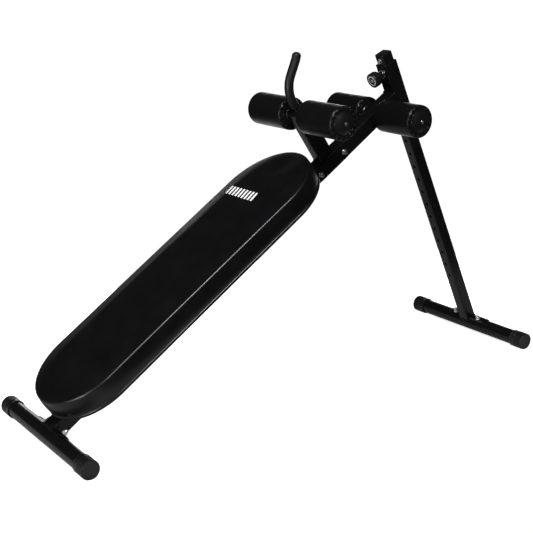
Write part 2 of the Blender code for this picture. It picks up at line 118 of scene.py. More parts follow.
def joint(name: str) -> dict:
    """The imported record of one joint."""
    return next(j for j in frame["joints"] if j["name"] == name)


def beam_axes() -> Axes:
    """The beam frame: its X runs from the low bracket's screw to the high bracket's.

    Returns:
        The frame, at the low foot tube's centre.
    """
    along = centre("pad_screw_high_near") - centre("pad_screw_low_near")
    along /= np.linalg.norm(along)
    return Axes(centre("low_foot_tube"), np.array([along, ACROSS, np.cross(along, ACROSS)]))


def leg_axes() -> Axes:
    """The leg frame: its Z is the way the leg slides, its -X the way the pin is pulled."""
    up = np.array(joint("leg_slide")["axis"], float)
    return Axes(centre("rear_foot_tube"), np.array([np.cross(ACROSS, up), ACROSS, up]))


# --- finishes -----------------------------------------------------------------------------
def linear(colour: str) -> tuple[float, float, float, float]:
    """Turn an sRGB hex colour into linear light.

    Args:
        colour: Six hex digits.

    Returns:
        Red, green, blue and an alpha of one.
    """
    level = np.array([int(colour[i:i + 2], 16) for i in (0, 2, 4)]) / 255
    light = np.where(level <= 0.04045, level / 12.92, ((level + 0.055) / 1.055) ** 2.4)
    return (*light.tolist(), 1.0)


def add_node(tree: Tree, kind: str, settings: dict | None = None,
             links: dict | None = None) -> bpy.types.Node:
    """Add a node, give it its settings and link sockets into it.

    Args:
        tree: The node tree it joins.
        kind: Blender's name of the node's type.
        settings: Values by name; an input's name or number sets that socket, any other name
            sets a property of the node.
        links: Output sockets by the input that each goes into.

    Returns:
        The new node.
    """
    node = tree.nodes.new(kind)
    for key, value in (settings or {}).items():
        if isinstance(key, int) or key in node.inputs:
            node.inputs[key].default_value = value
        else:
            setattr(node, key, value)
    for key, socket in (links or {}).items():
        tree.links.new(socket, node.inputs[key])
    return node


def per_mm(size_mm: float) -> float:
    """The texture scale at which one cell of a pattern is this many millimetres wide."""
    return 1000 / size_mm


@dataclass(frozen=True)
class Finish:
    """A surface finish: a base colour that drifts to a second one, and a fine relief.

    The drift is a soft noise that also carries the roughness from its low to its high value.
    """

    name: str
    slot: str
    colour: str
    drift: str
    roughness: tuple[float, float]
    relief_mm: float = 0.05
    grain_mm: float = 1.5
    drift_mm: float = 60.0
    metallic: float = 0.0
    sockets: dict = field(default_factory=dict)

    def height(self, tree: Tree, place: Socket) -> Socket:
        """The relief, from 0 to 1: here a fine noise, one bump for each grain.

        Args:
            tree: The material's tree.
            place: Where on the object, in metres.

        Returns:
            The socket that carries the height.
        """
        return add_node(tree, "ShaderNodeTexNoise", {
            "Scale": per_mm(self.grain_mm), "Detail": 2.0}, {"Vector": place}).outputs["Fac"]

    def tint(self, tree: Tree, place: Socket, drift: Socket) -> Socket:
        """The colour: a mix of the two named colours by the drift.

        Args:
            tree: The material's tree.
            place: Where on the object, in metres.
            drift: The soft noise, from 0 to 1.

        Returns:
            The socket that carries the colour.
        """
        mix = add_node(tree, "ShaderNodeMix", {
            "data_type": "RGBA", 6: linear(self.colour), 7: linear(self.drift)}, {0: drift})
        return mix.outputs[2]

    def material(self) -> bpy.types.Material:
        """The finish as a material: drift drives colour and roughness, the relief the bump.

        Returns:
            The material, made once and then shared.
        """
        made = bpy.data.materials.get(self.name)
        if made:
            return made
        made = bpy.data.materials.new(self.name)
        made.use_nodes = True
        tree = made.node_tree
        shader = tree.nodes["Principled BSDF"]
        shader.inputs["Metallic"].default_value = self.metallic
        for key, value in self.sockets.items():
            shader.inputs[key].default_value = value
        place = add_node(tree, "ShaderNodeTexCoord").outputs["Object"]
        drift = add_node(tree, "ShaderNodeTexNoise", {
            "Scale": per_mm(self.drift_mm), "Detail": 4.0}, {"Vector": place}).outputs["Fac"]
        low, high = self.roughness
        rough = add_node(tree, "ShaderNodeMapRange", {
            "From Min": NOISE_LOW, "From Max": NOISE_HIGH, "To Min": low, "To Max": high},
            {"Value": drift})
        bump = add_node(tree, "ShaderNodeBump", {"Distance": self.relief_mm / 1000},
                        {"Height": self.height(tree, place)})
        tree.links.new(self.tint(tree, place, drift), shader.inputs["Base Color"])
        tree.links.new(rough.outputs["Result"], shader.inputs["Roughness"])
        tree.links.new(bump.outputs["Normal"], shader.inputs["Normal"])
        made.diffuse_color = linear(self.colour)
        return made


@dataclass(frozen=True)
class Leather(Finish):
    """Embossed vinyl: rounded cells pressed by a roller, with a finer noise over them."""

    def height(self, tree: Tree, place: Socket) -> Socket:
        """The relief: one smooth dome for each cell, so the creases lie between cells.

        Args:
            tree: The material's tree.
            place: Where on the object, in metres.

        Returns:
            The socket that carries the height: 1 - distance, plus a quarter of the noise.
        """
        cells = add_node(tree, "ShaderNodeTexVoronoi", {
            "feature": "SMOOTH_F1", "Scale": per_mm(self.grain_mm), "Smoothness": 0.35},
            {"Vector": place})
        fine = add_node(tree, "ShaderNodeTexNoise", {
            "Scale": per_mm(self.grain_mm / 3), "Detail": 2.0}, {"Vector": place})
        dome = add_node(tree, "ShaderNodeMath", {"operation": "SUBTRACT", 0: 1.0},
                        {1: cells.outputs["Distance"]})
        return add_node(tree, "ShaderNodeMath", {"operation": "MULTIPLY_ADD", 1: 0.25},
                        {0: fine.outputs["Fac"], 2: dome.outputs[0]}).outputs[0]


@dataclass(frozen=True)
class Foam(Finish):
    """Closed-cell foam: a skin with small open pores."""

    def height(self, tree: Tree, place: Socket) -> Socket:
        """The relief: flat skin, dropping into a pit at the middle of each cell.

        Args:
            tree: The material's tree.
            place: Where on the object, in metres.

        Returns:
            The socket that carries the height.
        """
        cells = add_node(tree, "ShaderNodeTexVoronoi", {"Scale": per_mm(self.grain_mm)},
                         {"Vector": place})
        return add_node(tree, "ShaderNodeMapRange", {"From Min": 0.05, "From Max": 0.45},
                        {"Value": cells.outputs["Distance"]}).outputs["Result"]


@dataclass(frozen=True)
class Veneer(Finish):
    """Wood: growth rings stretched along the board, dark lines in a lighter ground."""

    def height(self, tree: Tree, place: Socket) -> Socket:
        """The relief: bands across the board's width, bent by a noise.

        Args:
            tree: The material's tree.
            place: Where on the object, in metres.

        Returns:
            The socket that carries the height.
        """
        stretched = add_node(tree, "ShaderNodeMapping", {"Scale": (0.08, 1.0, 0.08)},
                             {"Vector": place})
        return add_node(tree, "ShaderNodeTexWave", {
            "Scale": per_mm(self.grain_mm) / 6, "Distortion": 5.0, "Detail": 3.0},
            {"Vector": stretched.outputs["Vector"]}).outputs["Fac"]

    def tint(self, tree: Tree, place: Socket, drift: Socket) -> Socket:
        """The colour follows the growth rings and not the drift."""
        return super().tint(tree, place, self.height(tree, place))


# Powder-coated steel tube: polyester powder sprayed and baked, a hard satin-gloss black with
# a faint orange peel; the peel's waves are 2 mm wide.
COAT = Finish("powder_coated_steel", "black_steel", "050506", "0a0a0b", (0.16, 0.25), 0.012, 2.2,
              sockets={"IOR": 1.5, "Specular IOR Level": 0.30})
# Zinc-plated steel: bright blue-white metal, slightly cloudy where the plating is thicker.
ZINC = Finish("zinc_plated_steel", "zinc", "e2e4e6", "c4c9cd", (0.24, 0.36), 0.02, 0.8, 8.0, 1.0)
# Spring steel wire: oiled and drawn, darker and softer than plating.
SPRING = Finish("drawn_spring_steel", "spring_steel", "7c7f84", "5a5d62", (0.28, 0.42),
                0.02, 0.5, 8.0, 1.0)
# Moulded polypropylene: mid-gloss black with a spark-eroded texture, drawn at 0.9 mm so that
# it shows; the real grain is nearer 0.3 mm.
PLASTIC = Finish("moulded_polypropylene", "black_plastic", "070708", "0d0d0e", (0.24, 0.36),
                 0.03, 0.9, sockets={"IOR": 1.49, "Specular IOR Level": 0.40})
# Nitrile foam sleeve: dull black skin with pores drawn at 1.4 mm, about twice their real size.
FOAM = Foam("nitrile_foam", "black_foam", "060607", "0a0a0b", (0.30, 0.38), 0.05, 1.4,
            sockets={"IOR": 1.5, "Specular IOR Level": 0.14})
# Dipped vinyl grip: smooth, satin and slightly soft to the eye.
GRIP = Finish("dipped_vinyl_grip", "black_grip", "0a0a0b", "101011", (0.34, 0.42), 0.04, 1.8,
              sockets={"IOR": 1.5, "Specular IOR Level": 0.24})
# Upholstery vinyl: PVC on a knitted back, embossed with a leather grain about 1.6 mm wide.
VINYL = Leather("embossed_upholstery_vinyl", "black_vinyl", "030304", "070708", (0.28, 0.36),
                0.06, 1.6, sockets={"IOR": 1.5, "Specular IOR Level": 0.36})
# Bonded polyester thread: a little lighter and shinier than the vinyl that it sews.
THREAD = Finish("bonded_polyester_thread", "black_vinyl", "0e0e0f", "161617", (0.30, 0.45),
                0.05, 0.6, 20.0)
# Screen ink on vinyl: a thin, dull, warm white film.
INK = Finish("screen_printed_ink", "black_vinyl", "c9c8c5", "b5b4b2", (0.45, 0.60),
             0.02, 0.8, 12.0)
# Pad-printed ink on the knob's plastic: the same film laid thinner, so the black dulls it.
RING_INK = replace(INK, name="pad_printed_ink", slot="black_plastic",
                   colour="9b9a98", drift="8a8987")
# Birch plywood: pale brown rotary-cut face with growth rings about 6 mm apart.
PLYWOOD = Veneer("birch_plywood", "board", "8f6c49", "7a5a3b", (0.60, 0.75), 0.06, 6.0)


# --- outlines and profiles ----------------------------------------------------------------
def fillet(corners: np.ndarray, radius: float | np.ndarray, steps: int = 4) -> np.ndarray:
    """Round the corners of an open profile.

    Each corner C becomes the curve (1-t)^2 A + 2t(1-t) C + t^2 B, where A and B lie one radius
    before and after it, or nearly half a side where the side is short.

    Args:
        corners: Points as (n, d).
        radius: One radius, or a column with one for each inner corner.
        steps: Segments on each curve.

    Returns:
        The rounded profile.
    """
    points = np.asarray(corners, float)
    before, at, after = points[:-2], points[1:-1], points[2:]

    def toward(other: np.ndarray) -> np.ndarray:
        """The points one radius from each corner towards its neighbour."""
        share = radius / np.linalg.norm(other - at, axis=1, keepdims=True)
        return (at + (other - at) * np.minimum(share, 0.48))[:, None]

    t = np.linspace(0, 1, steps + 1)[None, :, None]
    bends = (1 - t) ** 2 * toward(before) + 2 * t * (1 - t) * at[:, None] + t ** 2 * toward(after)
    return np.vstack([points[:1], bends.reshape(-1, points.shape[1]), points[-1:]])


def rounded_box(wide: float, deep: float, corner: float, steps: int = 6) -> np.ndarray:
    """A rectangle with rounded corners: four quarter circles joined by straight sides.

    Args:
        wide: Size along X.
        deep: Size along Y.
        corner: Radius of the corners.
        steps: Segments on each quarter.

    Returns:
        Points as (n, 2), anticlockwise.
    """
    turn = np.radians(np.arange(4)[:, None] * 90 + np.linspace(0, 90, steps + 1))
    signs = np.array([[1, 1], [-1, 1], [-1, -1], [1, -1]])
    middles = signs * np.array([wide / 2 - corner, deep / 2 - corner])
    arcs = middles[:, None] + corner * np.stack([np.cos(turn), np.sin(turn)], axis=-1)
    return arcs.reshape(-1, 2)


def lift(outline: np.ndarray, height: float | np.ndarray) -> np.ndarray:
    """Give a plane outline a height, one for all points or one for each."""
    return np.column_stack([outline, np.broadcast_to(height, len(outline))])


def lathe(profile: np.ndarray, sides: int = 72, swell: Callable | None = None,
          angles: np.ndarray | None = None) -> np.ndarray:
    """Turn a profile about Z: x = r cos a, y = r sin a, z = h.

    Args:
        profile: Pairs (r, h).
        sides: Columns round the axis.
        swell: Takes (r, a, h) as arrays and returns the radius to use instead.
        angles: The columns' angles, where they aren't even.

    Returns:
        A grid of points, one row for each pair.
    """
    angle = np.arange(sides) * FULL_TURN / sides if angles is None else angles
    radius, angle, height = np.broadcast_arrays(profile[:, :1], angle[None], profile[:, 1:2])
    if swell:
        radius = swell(radius, angle, height)
    return np.stack([radius * np.cos(angle), radius * np.sin(angle), height], axis=-1)


def hexagon(flats: float) -> Callable:
    """A swell that trims a turned profile to a hexagon, as a chamfered nut is cut from bar.

    The hexagon's radius at angle a is (flats / 2) / cos(a mod 60 - 30), and the smaller of it
    and the profile's radius is kept.

    Args:
        flats: Distance across the flats.

    Returns:
        The swell, for lathe.
    """
    sixth = math.pi / 3
    return lambda r, a, h: np.minimum(r, flats / 2 / np.cos(a % sixth - sixth / 2))


def resample(path: np.ndarray, spacing: float) -> np.ndarray:
    """Spread points evenly along a closed path of straight pieces.

    Args:
        path: Points as (n, 3).
        spacing: The distance wanted between points.

    Returns:
        The new points; the start isn't repeated.
    """
    line = np.vstack([path, path[:1]])
    run = np.concatenate([[0], np.cumsum(np.linalg.norm(np.diff(line, axis=0), axis=1))])
    count = max(8, round(run[-1] / spacing))
    stops = np.linspace(0, run[-1], count + 1)[:count]
    return np.column_stack([np.interp(stops, run, line[:, k]) for k in range(3)])


def bead(path: np.ndarray, radius: float, ripple: float = 0.14,
         pitch: float = 0.0045) -> np.ndarray:
    """A weld bead: circles across a closed path, whose radius swells and shrinks once a pitch.

    The radius at distance d along the path is R (1 + ripple cos(2 pi d / pitch)).

    Args:
        path: Points as (n, 3), evenly spaced.
        radius: The bead's mean radius.
        ripple: The swelling, as a share of the radius.
        pitch: Length of one ripple.

    Returns:
        A grid with one row for each point of the path.
    """
    ahead = np.roll(path, -1, axis=0) - np.roll(path, 1, axis=0)
    ahead /= np.linalg.norm(ahead, axis=1, keepdims=True)
    helper = np.eye(3)[np.argmin(np.abs(ahead).max(axis=0))]
    side = np.cross(ahead, helper)
    side /= np.linalg.norm(side, axis=1, keepdims=True)
    other = np.cross(ahead, side)
    along = np.arange(len(path)) * np.linalg.norm(path[1] - path[0])
    width = radius * (1 + ripple * np.cos(FULL_TURN * along / pitch))
    return path[:, None] + spokes(side, other, 8) * width[:, None, None]


def spokes(side: np.ndarray, other: np.ndarray, count: int) -> np.ndarray:
    """Directions round each point of a path: side cos a + other sin a, at even angles.

    Args:
        side: One direction across the path at each point, as (n, 3).
        other: The other, square to it.
        count: Directions round each point.

    Returns:
        Directions as (n, count, 3).
    """
    angle = (np.arange(count) * FULL_TURN / count)[None, :, None]
    return side[:, None] * np.cos(angle) + other[:, None] * np.sin(angle)


def boxes(*rows: tuple[float, float, float, float]) -> np.ndarray:
    """Rounded rectangles stacked along Z, each given as (wide, deep, corner, height)."""
    return np.stack([lift(rounded_box(*box), height) for *box, height in rows])


# --- meshes -------------------------------------------------------------------------------
def quads(index: np.ndarray) -> np.ndarray:
    """The four corners of each cell of a grid of point numbers, as (n, 4)."""
    corners = [index[:-1, :-1], index[:-1, 1:], index[1:, 1:], index[1:, :-1]]
    return np.stack(corners, axis=-1).reshape(-1, 4)


class Shape:
    """Grids of points gathered into one mesh."""

    def __init__(self) -> None:
        """Start with no points."""
        self.points: list[np.ndarray] = []
        self.faces: list[list[int]] = []
        self.count = 0

    def add(self, grid: np.ndarray, axes: Axes | None = None, loop: bool = True,
            ring: bool = False, shut: bool = False) -> "Shape":
        """Add a grid of quads.

        Args:
            grid: Points as (rows, columns, 3).
            axes: The frame the points are in, if it isn't the world.
            loop: The last column joins the first.
            ring: The last row joins the first.
            shut: The first and the last row are each filled with one face.

        Returns:
            The shape, so that calls can follow each other.
        """
        rows, columns = grid.shape[:2]
        flat = grid.reshape(-1, 3)
        index = np.arange(rows * columns).reshape(rows, columns) + self.count
        self.points.append(axes.place(flat) if axes else flat)
        self.count += rows * columns
        if shut:
            self.faces += [index[0].tolist(), index[-1].tolist()]
        if loop:
            index = np.hstack([index, index[:, :1]])
        if ring:
            index = np.vstack([index, index[:1]])
        self.faces += quads(index).tolist()
        return self

    def mesh(self, name: str) -> bpy.types.Mesh:
        """The mesh, with doubled points merged and every face turned outwards.

        Args:
            name: The mesh's name.

        Returns:
            The new mesh.
        """
        mesh = bpy.data.meshes.new(name)
        mesh.from_pydata(np.concatenate(self.points).tolist(), [], self.faces)
        data = bmesh.new()
        data.from_mesh(mesh)
        bmesh.ops.remove_doubles(data, verts=data.verts, dist=MERGE)
        bmesh.ops.dissolve_degenerate(data, edges=data.edges, dist=MERGE)
        bmesh.ops.recalc_face_normals(data, faces=data.faces)
        data.to_mesh(mesh)
        data.free()
        return mesh

    def piece(self, name: str, finish: Finish, body: str, replaces: tuple[str, ...] = (),
              drills: "Shape | None" = None, sharp: float = 35.0) -> bpy.types.Object:
        """Make the shape a finished piece that moves with a body.

        Args:
            name: The piece's name.
            finish: Its finish.
            body: The body it rides on.
            replaces: The CAD nodes it stands for.
            drills: A shape that is cut out of it.
            sharp: Edges that bend more than this many degrees stay crisp.

        Returns:
            The new object.
        """
        thing = put_in_scene(name, self.mesh(name))
        if drills:
            cut_away(thing, drills)
        thing.data.shade_smooth()
        thing.data.set_sharp_from_angle(angle=math.radians(sharp))
        dress(thing, finish)
        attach(thing, body)
        if replaces:
            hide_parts(*replaces)
        LOG.info("%s: %d faces, %s", name, len(thing.data.polygons), finish.name)
        return thing


def put_in_scene(name: str, data: bpy.types.ID) -> bpy.types.Object:
    """Put a mesh, light or camera into the scene as an object.

    Args:
        name: The object's name.
        data: What it shows.

    Returns:
        The new object.
    """
    thing = bpy.data.objects.new(name, data)
    bpy.context.scene.collection.objects.link(thing)
    return thing


def dress(thing: bpy.types.Object, finish: Finish) -> None:
    """Give an object one material for all its faces."""
    thing.data.materials.clear()
    thing.data.materials.append(finish.material())


def dress_nodes(names: tuple[str, ...], finish: Finish) -> None:
    """Give CAD nodes that stay as they are a better finish."""
    for name in names:
        dress(frame["nodes"][name], finish)


def cut_away(thing: bpy.types.Object, drills: Shape) -> None:
    """Cut a shape out of an object for good, and remove the cutter.

    Args:
        thing: The object that is cut.
        drills: What is taken out of it.
    """
    cutter = put_in_scene(f"{thing.name}_drills", drills.mesh("drills"))
    modifier = thing.modifiers.new("drill", "BOOLEAN")
    modifier.operation = "DIFFERENCE"
    modifier.solver = "EXACT"
    modifier.object = cutter
    graph = bpy.context.evaluated_depsgraph_get()
    result = bpy.data.meshes.new_from_object(thing.evaluated_get(graph))
    thing.modifiers.clear()
    thing.data = result
    bpy.data.objects.remove(cutter, do_unlink=True)


def rod(radius: float, low: float, high: float, axes: Axes, sides: int = 32,
        shape: Shape | None = None) -> Shape:
    """A plain closed rod, alone as a drill or beside the other rods of a shape.

    Args:
        radius: Its radius.
        low: Height of one end.
        high: Height of the other.
        axes: The frame whose Z it lies along.
        sides: Columns round it.
        shape: The shape it is added to, if there is one already.

    Returns:
        The shape that holds it.
    """
    ends = np.array([[radius, low], [radius, high]])
    return (shape or Shape()).add(lathe(ends, sides), axes, shut=True)


def pipe(radius: float, wall: float, reach: float, sides: int = 72) -> np.ndarray:
    """A round tube that reaches as far each way along Z, for a ring of rows.

    Args:
        radius: Its outer radius.
        wall: Its thickness.
        reach: Half of its length.
        sides: Columns round it.

    Returns:
        A grid of points, up the outside and down the bore.
    """
    bore = radius - wall
    profile = [[radius, -reach], [radius, reach], [bore, reach], [bore, -reach]]
    return lathe(np.array(profile), sides)


def square_tube(wide: float, deep: float, wall: float, low: Callable, high: Callable,
                corner: float = 0.004, edge: float = 0.0005) -> np.ndarray:
    """A rectangular tube as a ring of outlines: up the outside, over the rim, down the inside.

    Args:
        wide: Size along X.
        deep: Size along Y.
        wall: Thickness.
        low: Gives the lower end's height at an outline's points, so it can be coped.
        high: The same for the upper end.
        corner: Radius of the outer corners.
        edge: How far the rims are eased.

    Returns:
        A grid whose last row joins its first.
    """
    full = rounded_box(wide, deep, corner)
    eased = rounded_box(wide - 2 * edge, deep - 2 * edge, corner - edge)
    bore = rounded_box(wide - 2 * wall, deep - 2 * wall, max(corner - wall, 0.0008))
    return np.stack([
        lift(eased, low(full)), lift(full, low(full) + edge), lift(full, high(full) - edge),
        lift(eased, high(full)), lift(bore, high(full)), lift(bore, low(full))])


def weld(name: str, path: np.ndarray, axes: Axes, radius: float = 0.0022,
         body: str = "frame") -> None:
    """Lay a weld bead along a closed path, as a piece.

    Args:
        name: The piece's name.
        path: The line the bead's middle follows.
        axes: The frame the path is in.
        radius: The bead's mean radius.
        body: The body it rides on.
    """
    line = resample(path, WELD_STEP)
    Shape().add(bead(line, radius), axes, ring=True).piece(name, COAT, body)


def ring_weld(name: str, axes: Axes, tube: float, height: float, radius: float = 0.0022) -> None:
    """Weld round a tube where it leaves a flat face.

    Args:
        name: The piece's name.
        axes: The frame whose Z is the tube's axis.
        tube: The tube's radius.
        height: Height of the bead's middle.
        radius: The bead's mean radius.
    """
    angle = np.linspace(0, FULL_TURN, 90, endpoint=False)
    ring = np.column_stack([np.cos(angle), np.sin(angle)]) * (tube + SEAT_LIFT)
    weld(name, lift(ring, height), axes, radius)


def level(height: float) -> Callable:
    """An end cut square: the same height at every point."""
    return lambda outline: np.full(len(outline), height)


def coped(radius: float) -> Callable:
    """An end that sits on a round tube across Y: height is sqrt(radius^2 - x^2)."""
    return lambda outline: np.sqrt(np.maximum(radius ** 2 - outline[:, 0] ** 2, 0))


# --- fasteners ----------------------------------------------------------------------------
def washer(shape: Shape, axes: Axes, outer: float, bore: float, low: float, high: float) -> None:
    """Add a flat washer with eased rims, as a closed ring of outlines turned about Z.

    Args:
        shape: The shape it joins.
        axes: The frame whose Z is its axis.
        outer: Its outer radius.
        bore: Its inner radius.
        low: Height of its lower face.
        high: Height of its upper face.
    """
    ease = 0.0003
    rim = np.array([[bore, low], [outer - ease, low], [outer, low + ease], [outer, high - ease],
                    [outer - ease, high], [bore, high]])
    shape.add(lathe(rim, 48), axes, ring=True)


def hex_prism(shape: Shape, axes: Axes, flats: float, low: float, high: float) -> None:
    """Add a hexagonal nut or head whose top corners are turned off at about 30 degrees.

    Args:
        shape: The shape it joins.
        axes: The frame whose Z is its axis.
        flats: Distance across the flats.
        low: Height of its lower face.
        high: Height of its upper face.
    """
    corner = flats / math.sqrt(3) * 1.02
    inside = flats * 0.44
    cone = np.linspace((corner, high - (corner - inside) * 0.6), (inside, high), 7)
    profile = np.vstack([[[0, low], [corner, low]], cone, [[0, high]]])
    shape.add(lathe(profile, 72, hexagon(flats)), axes)


def domed_nut(name: str, axes: Axes, body: str, node: str) -> None:
    """Make a domed nut on its washer.

    Args:
        name: The piece's name.
        axes: A frame whose Z=0 is the face it bears on.
        body: The body it rides on.
        node: The CAD node it stands for.
    """
    shape = Shape()
    washer(shape, axes, 0.0095, BOLT_HOLE, GAP, WASHER_TOP)
    hex_prism(shape, axes, 0.0140, WASHER_TOP, 0.0092)
    turn = np.linspace(0, math.pi / 2, 9)
    dome = np.column_stack([0.0062 * np.cos(turn), 0.0096 + 0.0074 * np.sin(turn)])
    shape.add(lathe(np.vstack([[[0, 0.0088], [0.0062, 0.0088]], dome]), 40), axes)
    shape.piece(name, ZINC, body, (node,))


def hex_bolt(name: str, axes: Axes, grip: float, body: str, node: str) -> None:
    """Make a hex bolt and washer.

    Args:
        name: The piece's name.
        axes: A frame whose Z=0 is the face it bears on, with Z out of the head.
        grip: Length of the shank under that face.
        body: The body it rides on.
        node: The CAD node it stands for.
    """
    shape = Shape()
    washer(shape, axes, 0.0090, BOLT_HOLE, GAP, WASHER_TOP)
    hex_prism(shape, axes, 0.0130, WASHER_TOP, 0.0082)
    rod(0.0040, -grip, 0.0030, axes, 24, shape)
    shape.piece(name, ZINC, body, (node,))


# --- feet ---------------------------------------------------------------------------------
@dataclass
class Foot:
    """A floor tube with ribbed caps, and the saddle that is bolted over it."""

    name: str
    body: str
    member: Axes                # at the tube's centre, Z along the beam or leg it carries
    member_side: float
    radius: float = 0.025
    wall: float = 0.002
    cap_radius: float = 0.0285
    cap_length: float = 0.050
    ribs: int = 26
    rib_depth: float = 0.0016
    saddle: float = 0.004
    saddle_half: float = 0.082
    saddle_reach: float = 62.0  # how far round the tube it goes each way, in degrees
    stud_y: float = 0.054
    half: float = field(init=False)

    def __post_init__(self) -> None:
        """Read half of the foot's width, over its caps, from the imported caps."""
        near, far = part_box(f"{self.name}_cap_near"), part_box(f"{self.name}_cap_far")
        self.half = (far[1][1] - near[0][1]) / 2

    def build(self) -> None:
        """Make the foot's pieces."""
        self.tube()
        for side, sign in (("near", -1), ("far", 1)):
            self.cap(side, sign)
            domed_nut(f"{self.name}_domed_nut_{side}",
                      self.member.at(0, sign * self.stud_y, self.saddle_outer()),
                      self.body, f"{self.name}_nut_{side}")
            dress_nodes((f"{self.name}_bolt_{side}",), ZINC)
        self.saddle_plate()

    def saddle_outer(self) -> float:
        """Radius of the saddle's outer face."""
        return self.radius + GAP + self.saddle

    def world(self) -> Axes:
        """The world's directions at the tube's centre."""
        return Axes(self.member.origin, np.eye(3))

    def tube(self) -> None:
        """The round tube, open at both ends inside its caps."""
        walls = pipe(self.radius, self.wall, self.half - 0.0033, 96)
        Shape().add(walls, self.world().at(0, 0, 0, Along.FAR), ring=True).piece(
            f"{self.name}_round_tube", COAT, self.body, (f"{self.name}_tube",), self.stud_drills())

    def stud_drills(self) -> Shape:
        """Drills for the two studs, from inside the tube out through the saddle.

        Returns:
            Both drills as one shape.
        """
        drills = Shape()
        for sign in (-1, 1):
            rod(BOLT_HOLE, 0.010, 0.040, self.member.at(0, sign * self.stud_y, 0), 32, drills)
        return drills

    def rib_swell(self, radius: np.ndarray, angle: np.ndarray, height: np.ndarray) -> np.ndarray:
        """Sink grooves between ribs: depth (0.5 + 0.5 cos(ribs a))^2, in the outer band only.

        Args:
            radius: Radius at each point.
            angle: Angle about the cap's axis.
            height: Height over the cap's face.

        Returns:
            The radius to use instead.
        """
        band = np.clip((-height - 0.0030) / 0.002, 0, 1) * np.clip((height + 0.0340) / 0.002, 0, 1)
        groove = (0.5 + 0.5 * np.cos(self.ribs * angle)) ** 2
        return radius - self.rib_depth * band * groove * (radius > self.cap_radius - 0.002)

    def cap(self, side: str, sign: int) -> None:
        """A cup over the tube's end: flat face with a shallow dish, ribbed band, plain skirt.

        Args:
            side: Which end, in the piece's name.
            sign: That end's way along Y.
        """
        big, bore, long = self.cap_radius, self.radius + GAP, self.cap_length
        profile = fillet(np.array([
            [0, -0.0009], [big - 0.0085, -0.0009], [big - 0.0075, 0], [big - 0.0005, 0],
            [big, -0.0030], [big, -0.0050], [big, -0.0320], [big, -0.0340], [big - 0.0006, -0.0350],
            [big - 0.0006, -long + 0.004], [big, -long + 0.0032], [big, -long], [bore, -long],
            [bore, -0.0030], [0, -0.0030]]), 0.0009, 3)
        outer_end = self.world().at(0, sign * self.half, 0, Along.FAR if sign > 0 else Along.NEAR)
        points = outer_end.place(lathe(profile, 8 * self.ribs, self.rib_swell).reshape(-1, 3))
        points[:, 2] = np.maximum(points[:, 2], 0)      # worn flat where it stands on the floor
        Shape().add(points.reshape(len(profile), -1, 3)).piece(
            f"{self.name}_ribbed_cap_{side}", PLASTIC, self.body, (f"{self.name}_cap_{side}",))

    def saddle_plate(self) -> None:
        """A curved plate: an outer arc, two rounded edges and an inner arc, carried along Y."""
        reach = math.radians(self.saddle_reach)
        middle, half = self.radius + GAP + self.saddle / 2, self.saddle / 2
        sweep, turn = np.linspace(-reach, reach, 33), np.linspace(0, math.pi, 7)[1:-1]
        tip = np.column_stack([np.sin(turn), np.cos(turn)]) * half
        bend = tip[:, 0] / middle
        angle = np.concatenate([sweep, reach + bend, sweep[::-1], -reach - bend])
        flat = np.full(len(sweep), half)
        offset = np.concatenate([flat, tip[:, 1], -flat, -tip[:, 1]])
        ease = np.array([0.0012, 0.0003, 0.0])          # inset of a face at each of its rows
        rows_y = np.array([0.0, 0.0003, 0.0012]) - self.saddle_half
        ease, rows_y = np.concatenate([ease, ease[::-1]]), np.concatenate([rows_y, -rows_y[::-1]])
        radius = middle + offset[None] * (1 - ease[:, None] / half)
        grid = np.stack([radius * np.sin(angle), np.broadcast_to(rows_y[:, None], radius.shape),
                         radius * np.cos(angle)], axis=-1)
        Shape().add(grid, self.member, shut=True).piece(
            f"{self.name}_saddle_plate", COAT, self.body, (f"{self.name}_saddle",),
            self.stud_drills())
        seat = rounded_box(self.member_side + 0.001, self.member_side + 0.001, 0.004)
        weld(f"{self.name}_saddle_weld", lift(seat, coped(self.saddle_outer() + SEAT_LIFT)(seat)),
             self.member, body=self.body)


